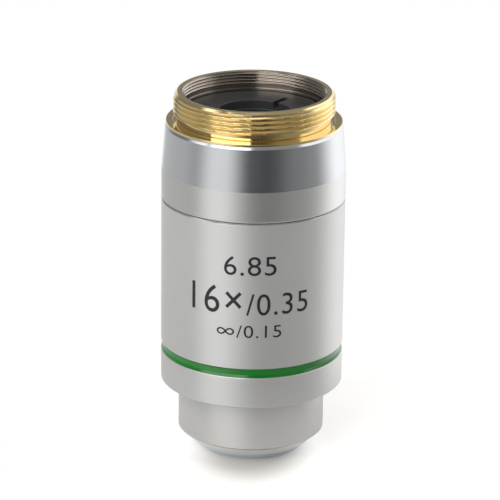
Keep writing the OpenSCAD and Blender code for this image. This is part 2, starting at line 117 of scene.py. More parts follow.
class Graph:
    """Adds nodes to one node tree and links them."""

    noise_range = (0.3, 0.7)

    def __init__(self, tree: bpy.types.NodeTree) -> None:
        """Start on a shader or geometry tree."""
        self.tree = tree

    def node(self, kind: str, inputs: dict[str | int, object] | None = None, **settings: object) -> bpy.types.Node:
        """Add one node.

        Args:
            kind: the node's type name.
            inputs: values or sockets for its inputs, by name or by number.
            settings: the node's own properties.

        Returns:
            The new node.
        """
        made = self.tree.nodes.new(kind)
        for key, value in settings.items():
            setattr(made, key, value)
        self.fill(made, inputs or {})
        return made

    def fill(self, node: bpy.types.Node, inputs: dict[str | int, object]) -> None:
        """Give a node's inputs their constants or links.

        Args:
            node: the node.
            inputs: values or sockets for its inputs, by name or by number.
        """
        for key, value in inputs.items():
            if isinstance(value, bpy.types.NodeSocket):
                self.tree.links.new(value, node.inputs[key])
            else:
                node.inputs[key].default_value = value

    def out(self, kind: str, inputs: dict[str | int, object] | None = None, **settings: object) -> Socket:
        """Add one node and return its first output."""
        return self.node(kind, inputs, **settings).outputs[0]

    def math(self, operation: str, *values: Value) -> Socket:
        """Add a Math node and return its result."""
        return self.out("ShaderNodeMath", dict(enumerate(values)), operation=operation)

    def plus(self, first: Value, second: Value) -> Socket:
        """Return a sum."""
        return self.math("ADD", first, second)

    def minus(self, first: Value, second: Value) -> Socket:
        """Return a difference."""
        return self.math("SUBTRACT", first, second)

    def times(self, first: Value, second: Value) -> Socket:
        """Return a product."""
        return self.math("MULTIPLY", first, second)

    def over(self, first: Value, second: Value) -> Socket:
        """Return a quotient."""
        return self.math("DIVIDE", first, second)

    def vector(self, operation: str, *values: object) -> Socket:
        """Add a Vector Math node and return its vector result."""
        return self.out("ShaderNodeVectorMath", dict(enumerate(values)), operation=operation)

    def split(self, vector: Socket) -> tuple[Socket, Socket, Socket]:
        """Return the three parts of a vector."""
        made = self.node("ShaderNodeSeparateXYZ", {0: vector})
        return made.outputs[0], made.outputs[1], made.outputs[2]

    def join(self, x: Value, y: Value, z: Value) -> Socket:
        """Return a vector made of three parts."""
        return self.out("ShaderNodeCombineXYZ", {0: x, 1: y, 2: z})

    def ease(self, value: Value, low: Value, high: Value, start: Value = 0.0, end: Value = 1.0) -> Socket:
        """Return a smooth step from start to end as value goes from low to high."""
        inputs = {0: value, 1: low, 2: high, 3: start, 4: end}
        return self.out("ShaderNodeMapRange", inputs, interpolation_type="SMOOTHSTEP")

    def span(self, value: Value, low: Value, high: Value, start: Value, end: Value) -> Socket:
        """Return a straight ramp from start to end as value goes from low to high."""
        return self.out("ShaderNodeMapRange", {0: value, 1: low, 2: high, 3: start, 4: end})

    def grade(self, noise: Socket, start: float, end: float) -> Socket:
        """Return a straight ramp from start to end over a noise's usual range."""
        return self.span(noise, *self.noise_range, start, end)

    def between(self, share: Socket, start: Value, end: Value) -> Socket:
        """Return the value that lies a share of the way from start to end."""
        return self.out("ShaderNodeMix", {0: share, 2: start, 3: end})

    def blend(self, share: Socket, start: object, end: object) -> Socket:
        """Return the colour that lies a share of the way from start to end."""
        return self.node("ShaderNodeMix", {0: share, 6: start, 7: end}, data_type="RGBA").outputs[2]

    def noise(self, coords: Socket, scale: float, detail: float) -> Socket:
        """Return a noise pattern from about 0 to 1."""
        return self.node("ShaderNodeTexNoise", {"Vector": coords, "Scale": scale, "Detail": detail}).outputs["Fac"]

    def bump(self, height: Socket, strength: float, relief: float) -> Socket:
        """Return the normal of a surface with a pattern's relief, in metres."""
        return self.out("ShaderNodeBump", {"Strength": strength, "Distance": relief, "Height": height})

    def radius(self, x: Socket, y: Socket) -> Socket:
        """Return the distance of a point from the optical axis."""
        return self.math("SQRT", self.plus(self.times(x, x), self.times(y, y)))


@dataclass(frozen=True)
class Finish:
    """What all finishes share.

    Attributes:
        name: name of the material.
        slot: the record's material slot.
        colour: base colour, linear.
        roughness: middle value of the roughness.
    """

    name: str
    slot: str
    colour: Colour
    roughness: float

    def material(self) -> bpy.types.Material:
        """Make the material, or take it if it is made already.

        Returns:
            The material.
        """
        made = bpy.data.materials.get(self.name)
        if made is None:
            made = bpy.data.materials.new(self.name)
            made.use_nodes = True
            graph = Graph(made.node_tree)
            coords = graph.node("ShaderNodeTexCoord").outputs["Object"]
            graph.fill(made.node_tree.nodes["Principled BSDF"], self.surface(graph, coords))
        return made

    def surface(self, graph: Graph, coords: Socket) -> dict[str, object]:
        """Work out the shader's inputs, which each kind of finish does in its own way.

        Args:
            graph: the material's graph.
            coords: the object coordinates.

        Returns:
            The shader's inputs by name.
        """
        raise NotImplementedError

    def tint(self, graph: Graph, amount: Socket, low: float, high: float) -> Socket:
        """Vary the base colour's brightness.

        Args:
            graph: the material's graph.
            amount: a pattern from 0 to 1.
            low: brightness where the pattern is 0.
            high: brightness where the pattern is 1.

        Returns:
            The varied colour.
        """
        level = graph.span(amount, 0.0, 1.0, low, high)
        return graph.vector("MULTIPLY", self.colour, graph.join(level, level, level))


@dataclass(frozen=True)
class Zone:
    """A part of a piece where its metal looks different.

    Attributes:
        measure: what tells the zone from the rest.
        edge: the zone lies under this height or inside this radius, in metres.
        colour: the zone's colour, linear.
        roughness: the zone's roughness.
        soft: half the width of the change at its edge, in millimetres.
    """

    measure: Measure
    edge: float
    colour: Colour
    roughness: float
    soft: float = 0.02


@dataclass(frozen=True)
class MetalFinish(Finish):
    """A turned, satin or polished metal surface.

    Attributes:
        lay: how the tool marks run.
        anisotropy: how much longer highlights are across the tool marks than along them.
        lay_turn: turn of the highlights that brings them across turned marks, in full turns.
        groove: width of the tool marks, in millimetres.
        relief: height of the tool marks, in millimetres.
        mark_strength: how far the relief bends the reflections.
        drift: how fast the marks change along themselves, per millimetre.
        scatter: how far the roughness varies.
        cloud: how far the brightness varies.
        clouds: how many changes of brightness there are, per millimetre.
        zone: a part of the piece that looks different, if any.
        metal: how far the surface is bare metal rather than a pale satin film.
    """

    lay: Lay = Lay.TURNED
    anisotropy: float = 0.5
    lay_turn: float = 0.25
    groove: float = 0.06
    relief: float = 0.0015
    mark_strength: float = 0.6
    drift: float = 0.02
    scatter: float = 0.05
    cloud: float = 0.05
    clouds: float = 0.25
    zone: Zone | None = None
    metal: float = 1.0

    def tool_marks(self, graph: Graph, coords: Socket) -> Socket:
        """Draw the tool marks.

        Args:
            graph: the material's graph.
            coords: the object coordinates.

        Returns:
            The pattern, from about 0 to 1.
        """
        across = 1.0 / (self.groove * MM)
        along = self.drift / MM
        if self.lay is Lay.TURNED:
            x, y, z = graph.split(coords)
            lines = graph.join(graph.times(graph.radius(x, y), across), graph.times(z, across), graph.times(x, along))
            shift: Value = graph.times(y, along)
        else:
            lines = graph.vector("MULTIPLY", coords, (across, across, across))
            shift = 0.0
        inputs = {"Vector": lines, "W": shift, "Scale": 1.0, "Detail": 2.0}
        return graph.node("ShaderNodeTexNoise", inputs, noise_dimensions="4D").outputs["Fac"]

    def surface(self, graph: Graph, coords: Socket) -> dict[str, object]:
        """Work out the shader's inputs for metal.

        Args:
            graph: the material's graph.
            coords: the object coordinates.

        Returns:
            The shader's inputs by name.
        """
        marks = self.tool_marks(graph, coords)
        roughness = graph.grade(marks, self.roughness - self.scatter, self.roughness + self.scatter)
        colour = self.tint(graph, graph.noise(coords, self.clouds / MM, 3.0), 1.0 - self.cloud, 1.0)
        zone = self.zone
        if zone:
            x, y, z = graph.split(coords)
            measured = z if zone.measure is Measure.HEIGHT else graph.radius(x, y)
            beyond = graph.ease(measured, zone.edge - zone.soft * MM, zone.edge + zone.soft * MM)
            inside = graph.grade(marks, zone.roughness - self.scatter, zone.roughness + self.scatter)
            roughness = graph.between(beyond, inside, roughness)
            colour = graph.blend(beyond, (*zone.colour, 1.0), colour)
        inputs: dict[str, object] = {
            "Base Color": colour, "Roughness": roughness, "Metallic": self.metal,
            "Normal": graph.bump(marks, self.mark_strength, self.relief * MM),
        }
        if self.lay is Lay.TURNED:
            inputs["Tangent"] = graph.vector("NORMALIZE", graph.vector("CROSS_PRODUCT", (0.0, 0.0, 1.0), coords))
            inputs["Anisotropic"] = self.anisotropy
            inputs["Anisotropic Rotation"] = self.lay_turn
        return inputs


@dataclass(frozen=True)
class EnamelFinish(Finish):
    """Glossy enamel with painted shade: darker and greener towards its lower edge.

    Attributes:
        deep: darker colour in the lower part of the groove, painted shade, linear.
        low_z: height under which the painted shade is full, in metres.
        high_z: height where the upper colour starts, in metres.
        ripples: how many ripples its surface has, per millimetre.
        relief: height of the ripples, in millimetres.
        ripple_strength: how far the ripples bend the reflections.
        scatter: how far the roughness varies.
        ior: index of refraction.
    """

    deep: Colour
    low_z: float
    high_z: float
    ripples: float = 1.6
    relief: float = 0.01
    ripple_strength: float = 0.25
    scatter: float = 0.05
    ior: float = 1.5

    def surface(self, graph: Graph, coords: Socket) -> dict[str, object]:
        """Work out the shader's inputs for enamel.

        Args:
            graph: the material's graph.
            coords: the object coordinates.

        Returns:
            The shader's inputs by name.
        """
        # Painted shade: the colour darkens towards the groove's foot
        share = graph.ease(graph.split(coords)[2], self.low_z, self.high_z)
        ripple = graph.noise(coords, self.ripples / MM, 1.0)
        return {
            "Base Color": graph.blend(share, (*self.deep, 1.0), (*self.colour, 1.0)),
            "Roughness": graph.grade(ripple, self.roughness, self.roughness + self.scatter),
            "Normal": graph.bump(ripple, self.ripple_strength, self.relief * MM), "IOR": self.ior,
        }


@dataclass(frozen=True)
class BlackFinish(Finish):
    """Matt black anodising or ink, with a fine even grain.

    Attributes:
        grain: size of the grain, in millimetres.
        relief: height of the grain, in millimetres.
        grain_strength: how far the grain bends the reflections.
        scatter: how far the roughness varies.
        speckle: how far the brightness varies.
    """

    grain: float = 0.05
    relief: float = 0.004
    grain_strength: float = 0.5
    scatter: float = 0.05
    speckle: float = 0.2

    def surface(self, graph: Graph, coords: Socket) -> dict[str, object]:
        """Work out the shader's inputs for a matt black.

        Args:
            graph: the material's graph.
            coords: the object coordinates.

        Returns:
            The shader's inputs by name.
        """
        grain = graph.noise(coords, 1.0 / (self.grain * MM), 3.0)
        return {
            "Base Color": self.tint(graph, grain, 1.0 - self.speckle, 1.0 + self.speckle),
            "Roughness": graph.grade(grain, self.roughness - self.scatter, self.roughness + self.scatter),
            "Normal": graph.bump(grain, self.grain_strength, self.relief * MM),
        }


@dataclass(frozen=True)
class GlassFinish(Finish):
    """A coated optical glass.

    Attributes:
        ior: index of refraction.
        coating: thickness of the thin coating, in nanometres.
        coating_ior: index of refraction of the coating.
        haze: how many changes of the faint haze there are, per millimetre.
        scatter: how far the haze raises the roughness.
        shade: how far the haze takes down the brightness.
    """

    ior: float = 1.52
    coating: float = 120.0
    coating_ior: float = 1.38
    haze: float = 0.3
    scatter: float = 0.01
    shade: float = 0.02

    def surface(self, graph: Graph, coords: Socket) -> dict[str, object]:
        """Work out the shader's inputs for glass.

        Args:
            graph: the material's graph.
            coords: the object coordinates.

        Returns:
            The shader's inputs by name.
        """
        haze = graph.noise(coords, self.haze / MM, 2.0)
        return {
            "Base Color": self.tint(graph, haze, 1.0 - self.shade, 1.0),
            "Roughness": graph.grade(haze, self.roughness, self.roughness + self.scatter),
            "Transmission Weight": 1.0, "IOR": self.ior,
            "Thin Film Thickness": self.coating, "Thin Film IOR": self.coating_ior,
        }


@dataclass(frozen=True)
class Corner:
    """One corner of a turned section, in millimetres.

    Attributes:
        r: radius.
        z: height.
        soft: radius of the rounded edge, or 0 for a plain corner.
    """

    r: float
    z: float
    soft: float = 0.03


class Lathe:
    """Makes turned meshes from half sections."""

    arc_steps = 4
    hold = 0.02
    most_of_side = 0.45
    straight_from = math.radians(88)
    axis_r = 1e-6
    slack = 1e-4

    @classmethod
    def fillet(cls, before: Vector, corner: Vector, after: Vector, soft: float) -> list[Vector]:
        """Round one corner.

        Args:
            before: the corner before it.
            corner: the corner.
            after: the corner after it.
            soft: radius of the rounding.

        Returns:
            The points of the rounding, or the corner itself.
        """
        back, ahead = before - corner, after - corner
        half = back.angle(ahead) / 2
        if soft <= 0 or half > cls.straight_from:
            return [corner]
        length = min(soft / math.tan(half), cls.most_of_side * back.length, cls.most_of_side * ahead.length)
        start, end = corner + back.normalized() * length, corner + ahead.normalized() * length
        middle = corner + (back.normalized() + ahead.normalized()).normalized() * (length / math.cos(half))
        first, last = start - middle, end - middle
        sweep = first.angle_signed(last)
        points = []
        for step in range(cls.arc_steps + 1):
            turn = -sweep * step / cls.arc_steps
            cos, sin = math.cos(turn), math.sin(turn)
            points.append(middle + Vector((first.x * cos - first.y * sin, first.x * sin + first.y * cos)))
        return points

    @classmethod
    def outline(cls, corners: Sequence[Corner]) -> list[Point]:
        """Work out a closed outline with rounded corners and a loop held near the ends of each straight.

        Args:
            corners: the corners, anticlockwise in radius and height.

        Returns:
            The outline's points, in millimetres.
        """
        places = [Vector((c.r, c.z)) for c in corners]
        count = len(places)
        roundings = [
            cls.fillet(places[i - 1], places[i], places[(i + 1) % count], corners[i].soft) for i in range(count)
        ]
        points: list[Vector] = []
        for i, rounding in enumerate(roundings):
            points.extend(rounding)
            start, end = rounding[-1], roundings[(i + 1) % count][0]
            run = end - start
            if run.length > 4 * cls.hold:
                step = run.normalized() * cls.hold
                points.extend([start + step, end - step])
        return [(p.x, p.y) for p in points]

    @classmethod
    def refine(cls, outline: Sequence[Point], low: Point, high: Point, step: float) -> list[Point]:
        """Divide the parts of an outline that lie in a window, so that a thread can be cut there.

        Args:
            outline: the outline.
            low: lowest radius and height of the window.
            high: highest radius and height of the window.
            step: longest part that is left.

        Returns:
            The outline with the added points.
        """

        def inside(point: Point) -> bool:
            """Tell whether a point lies in the window."""
            return all(low[k] - cls.slack <= point[k] <= high[k] + cls.slack for k in (0, 1))

        points: list[Point] = []
        for i, here in enumerate(outline):
            ahead = outline[(i + 1) % len(outline)]
            points.append(here)
            if inside(here) and inside(ahead):
                parts = math.ceil(math.dist(here, ahead) / step)
                points.extend(
                    (here[0] + (ahead[0] - here[0]) * k / parts, here[1] + (ahead[1] - here[1]) * k / parts)
                    for k in range(1, parts)
                )
        return points

    @classmethod
    def spin(cls, name: str, outline: Sequence[Point], around: int = AROUND) -> bpy.types.Object:
        """Turn an outline about the axis.

        Args:
            name: name of the new piece.
            outline: closed outline, anticlockwise, in millimetres.
            around: number of divisions round the axis.

        Returns:
            The new object, with its faces outward.
        """
        angles = [2 * math.pi * k / around for k in range(around)]
        vertices: list[tuple[float, float, float]] = []
        rows: list[list[int]] = []
        for r, z in outline:
            if r < cls.axis_r:
                rows.append([len(vertices)] * around)
                vertices.append((0.0, 0.0, z * MM))
                continue
            rows.append(list(range(len(vertices), len(vertices) + around)))
            vertices.extend((r * MM * math.cos(a), r * MM * math.sin(a), z * MM) for a in angles)
        faces: list[tuple[int, ...]] = []
        for i, row in enumerate(rows):
            above = rows[(i + 1) % len(rows)]
            for k in range(around):
                ring = (row[k], row[(k + 1) % around], above[(k + 1) % around], above[k])
                face = tuple(dict.fromkeys(ring))
                if len(face) > 2:
                    faces.append(face)
        mesh = bpy.data.meshes.new(name)
        mesh.from_pydata(vertices, [], faces)
        return Workshop.place(name, mesh)


class Workshop:
    """Small jobs that all pieces need."""

    @staticmethod
    def heights(node: str) -> tuple[float, float]:
        """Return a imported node's lowest and highest point, in millimetres."""
        low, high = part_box(node)
        return low.z / MM, high.z / MM

    @staticmethod
    def barrel_r() -> float:
        """Return the barrel's outer radius, in millimetres."""
        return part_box("main_barrel")[1].x / MM

    @staticmethod
    def place(name: str, data: bpy.types.ID) -> bpy.types.Object:
        """Put a mesh or another kind of data into the scene as an object at the origin.

        Args:
            name: name of the object.
            data: what the object shows.

        Returns:
            The new object.
        """
        piece = bpy.data.objects.new(name, data)
        bpy.context.scene.collection.objects.link(piece)
        return piece

    @staticmethod
    def plain_mesh(piece: bpy.types.Object) -> bpy.types.Mesh:
        """Return a plain mesh of a piece as it looks with its modifiers."""
        return bpy.data.meshes.new_from_object(piece.evaluated_get(bpy.context.evaluated_depsgraph_get()))

    @classmethod
    def bake(cls, piece: bpy.types.Object) -> None:
        """Turn a piece's modifiers into a plain mesh.

        Args:
            piece: the piece, whose modifiers are removed.
        """
        mesh = cls.plain_mesh(piece)
        piece.modifiers.clear()
        piece.data = mesh

    @classmethod
    def cut(cls, piece: bpy.types.Object, size: Vector, centre: Vector, turn: float) -> None:
        """Cut a box out of a piece. The box points outward from the axis.

        Args:
            piece: the piece.
            size: the box's size in millimetres, the first along the radius.
            centre: its centre before it is turned, in millimetres.
            turn: angle about the axis.
        """
        mesh = bpy.data.meshes.new("block")
        form = bmesh.new()
        bmesh.ops.create_cube(form, size=1.0)
        place = Matrix.Rotation(turn, 4, "Z") @ Matrix.Translation(centre * MM) @ Matrix.Diagonal((*size * MM, 1.0))
        bmesh.ops.transform(form, matrix=place, verts=form.verts)
        form.to_mesh(mesh)
        form.free()
        cutter = cls.place("block", mesh)
        modifier = piece.modifiers.new("block", "BOOLEAN")
        modifier.operation, modifier.solver, modifier.object = "DIFFERENCE", "EXACT", cutter
        cls.bake(piece)
        bpy.data.objects.remove(cutter)

    @staticmethod
    def dress(piece: bpy.types.Object, body: Body, finish: Finish, *nodes: str) -> None:
        """Finish a new piece: its shading, material, body, slot and the nodes it stands for.

        Args:
            piece: the piece.
            body: the body that it moves with.
            finish: its finish.
            nodes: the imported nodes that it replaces.
        """
        mesh = piece.data
        mesh.materials.clear()
        mesh.materials.append(finish.material())
        for polygon in mesh.polygons:
            polygon.material_index = 0
        mesh.shade_smooth()
        mesh.set_sharp_from_angle(angle=SHARP_FROM)
        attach(piece, body.value)
        if nodes:
            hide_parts(*nodes)
        LOG.info("%s: %d faces, %s, %s", piece.name, len(mesh.polygons), body.value, finish.name)


@dataclass(frozen=True)
class SpannerSlot:
    """The slot across a ring that a pin spanner turns it by. Sizes in millimetres.

    Attributes:
        width: its width.
        depth: its depth.
        turn: its angle about the axis.
    """

    width: float = 0.95
    depth: float = 1.0
    turn: float = math.radians(54)

    def cut(self, ring: bpy.types.Object, face: float, reach: float) -> None:
        """Cut the slot into a ring.

        Args:
            ring: the ring.
            face: height of the ring's upper face.
            reach: length of the slot, from end to end.
        """
        Workshop.cut(ring, Vector((reach, self.width, 2 * self.depth)), Vector((0.0, 0.0, face)), self.turn)


@dataclass
class Palette:
    """All finishes of the objective, shared by the pieces.

    Attributes:
        brass: the mounting tube, darker inside its mouth.
        sleeve: the polished cone and its satin foot.
        satin: the nose sleeve.
        barrel: the barrel, and its polished upper edge by the seam, darkened there as painted shade.
        tip: the bevelled front cell, its chrome whitened as painted sheen above the bevel edge and tinted blue as
            painted reflection below it.
        enamel: the colour band, darker towards its foot as painted shade.
        black, ink: the anodised rings, spacers and stop, and the numerals.
        wire: the return spring.
        screw: the guide screw and the centring screws.
        cell: the lens cells, the optical barrel and the shim.
        crown, flint: the two kinds of lens glass.
    """

    brass: MetalFinish = MetalFinish(
        "bright_turned_brass", "mount_brass", (0.83, 0.67, 0.36), 0.09, anisotropy=0.3, groove=0.05, relief=0.001,
        zone=Zone(Measure.RADIUS, MOUTH_EDGE_R, (0.38, 0.33, 0.28), 0.18)
    )
    sleeve: MetalFinish = MetalFinish(
        "polished_cone_on_satin_foot", "bright_chrome", (0.60, 0.615, 0.63), 0.17, anisotropy=0.6, groove=0.04,
        relief=0.0006, scatter=0.03, cloud=0.03, zone=Zone(Measure.HEIGHT, CONE_FOOT_Z, (0.62, 0.62, 0.61), 0.36)
    )
    satin: MetalFinish = MetalFinish(
        "satin_chrome_plate", "satin_chrome", (0.62, 0.62, 0.61), 0.4, anisotropy=0.72, groove=0.07, cloud=0.04,
        metal=0.6
    )
    # The barrel's upper edge is darker (0.42) than its satin (0.61): painted shade at the seam
    barrel: MetalFinish = MetalFinish(
        "satin_barrel_with_painted_shade_edge", "satin_chrome", (0.42, 0.42, 0.42), 0.12, anisotropy=0.72, groove=0.07,
        cloud=0.04, metal=0.6, zone=Zone(Measure.HEIGHT, BARREL_EDGE_Z, (0.61, 0.61, 0.60), 0.4)
    )
    # Painted light on the front cell: near-white chrome as painted sheen, and a blue tint below the bevel edge as
    # painted reflection
    tip: MetalFinish = MetalFinish(
        "bevelled_tip_chrome", "bright_chrome", (0.96, 0.96, 0.93), 0.25, anisotropy=0.4, groove=0.05,
        relief=0.0006, scatter=0.04, cloud=0.03, zone=Zone(Measure.HEIGHT, TIP_EDGE_Z, (0.84, 0.92, 1.0), 0.16)
    )
    # The enamel's darker lower colour is painted shade
    enamel: EnamelFinish = EnamelFinish(
        "green_enamel_fill", "green_enamel", (0.022, 0.215, 0.036), 0.12, deep=(0.003, 0.165, 0.012),
        low_z=ENAMEL_FOOT_Z + 0.35 * MM, high_z=ENAMEL_FOOT_Z + 0.75 * MM
    )
    black: BlackFinish = BlackFinish("black_anodising", "black_anodised", (0.042, 0.042, 0.044), 0.4)
    ink: BlackFinish = BlackFinish("black_marking_ink", "black_anodised", (0.012, 0.012, 0.014), 0.5, grain=0.08)
    wire: MetalFinish = MetalFinish(
        "drawn_spring_wire", "spring_steel", (0.55, 0.56, 0.58), 0.3, lay=Lay.PLAIN, groove=0.2, relief=0.002
    )
    screw: MetalFinish = MetalFinish(
        "turned_screw_steel", "screw_steel", (0.45, 0.46, 0.48), 0.32, lay=Lay.PLAIN, groove=0.1, relief=0.002
    )
    cell: MetalFinish = MetalFinish(
        "turned_cell_brass", "cell_brass", (0.62, 0.48, 0.25), 0.34, anisotropy=0.4, groove=0.08, relief=0.002
    )
    crown: GlassFinish = GlassFinish("coated_crown_glass", "crown_glass", (0.95, 0.98, 1.0), 0.005)
    flint: GlassFinish = GlassFinish("coated_flint_glass", "flint_glass", (0.98, 1.0, 0.96), 0.005, ior=1.64)

    def by_slot(self) -> dict[str, Finish]:
        """Return the finish that each slot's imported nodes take."""
        finishes = (
            self.brass, self.sleeve, self.satin, self.enamel, self.black, self.wire, self.screw, self.cell,
            self.crown, self.flint,
        )
        return {finish.slot: finish for finish in finishes}


class Recipe(Graph):
    """A geometry tree with named inputs, whose result is one plain mesh with a finish."""

    def __init__(self, name: str, numbers: Sequence[str], counts: Sequence[str] = ()) -> None:
        """Open the tree and its inputs.

        Args:
            name: name of the tree.
            numbers: names of its inputs for lengths and other numbers.
            counts: names of its inputs for whole numbers.
        """
        super().__init__(bpy.data.node_groups.new(name, "GeometryNodeTree"))
        face = self.tree.interface
        kinds = {"Geometry": "Geometry", **dict.fromkeys(counts, "Int"), **dict.fromkeys(numbers, "Float")}
        for label, kind in {**kinds, "Finish": "Material"}.items():
            face.new_socket(label, in_out="INPUT", socket_type=f"NodeSocket{kind}")
        face.new_socket("Geometry", in_out="OUTPUT", socket_type="NodeSocketGeometry")
        self.given = self.node("NodeGroupInput").outputs

    def close(self, shape: Socket) -> None:
        """End the tree.

        Args:
            shape: the geometry that it makes.
        """
        real = self.out("GeometryNodeRealizeInstances", {"Geometry": shape})
        dressed = self.out("GeometryNodeSetMaterial", {"Geometry": real, "Material": self.given["Finish"]})
        self.node("NodeGroupOutput", {"Geometry": dressed})

    def apply(self, piece: bpy.types.Object, finish: Finish, values: dict[str, float]) -> None:
        """Run the tree on a piece and keep the result as a plain mesh.

        Args:
            piece: the piece.
            finish: the finish that the tree sets.
            values: its other inputs by name, lengths in metres.
        """
        modifier = piece.modifiers.new(self.tree.name, "NODES")
        modifier.node_group = self.tree
        given = {**values, "Finish": finish.material()}
        for item in self.tree.interface.items_tree:
            if item.in_out == "INPUT" and item.name in given:
                modifier[item.identifier] = given[item.name]
        Workshop.bake(piece)


class ThreadCutter(Recipe):
    """Presses a screw thread into one wall of a tube that has rows fine enough for it."""

    half_flat = 0.0625

    def __init__(self) -> None:
        """Build the tree."""
        super().__init__(
            "thread_cutter", ("Crest", "Root", "Pitch", "Front root", "Low end", "High end", "Middle of wall", "Side")
        )
        given = self.given
        x, y, z = self.split(self.out("GeometryNodeInputPosition"))
        radius = self.radius(x, y)
        turn = self.over(self.minus(self.math("ARCTAN2", y, x), FRONT), 2 * math.pi)
        climb = self.over(self.minus(z, given["Front root"]), given["Pitch"])
        phase = self.math("FRACT", self.plus(self.minus(climb, turn), 0.5))
        away = self.math("ABSOLUTE", self.minus(phase, 0.5))
        groove = self.span(away, self.half_flat, 0.5 - self.half_flat, given["Root"], given["Crest"])
        side = given["Side"]
        cut = self.math("MINIMUM", self.times(side, radius), self.times(side, groove))
        scale = self.over(self.times(side, cut), radius)
        moved = self.join(self.times(x, scale), self.times(y, scale), z)
        on_wall = self.math("GREATER_THAN", self.times(side, self.minus(radius, given["Middle of wall"])), 0.0)
        above = self.math("GREATER_THAN", z, given["Low end"])
        below = self.math("LESS_THAN", z, given["High end"])
        chosen = self.times(on_wall, self.times(above, below))
        inputs = {"Geometry": given["Geometry"], "Selection": chosen, "Position": moved}
        self.close(self.out("GeometryNodeSetPosition", inputs))


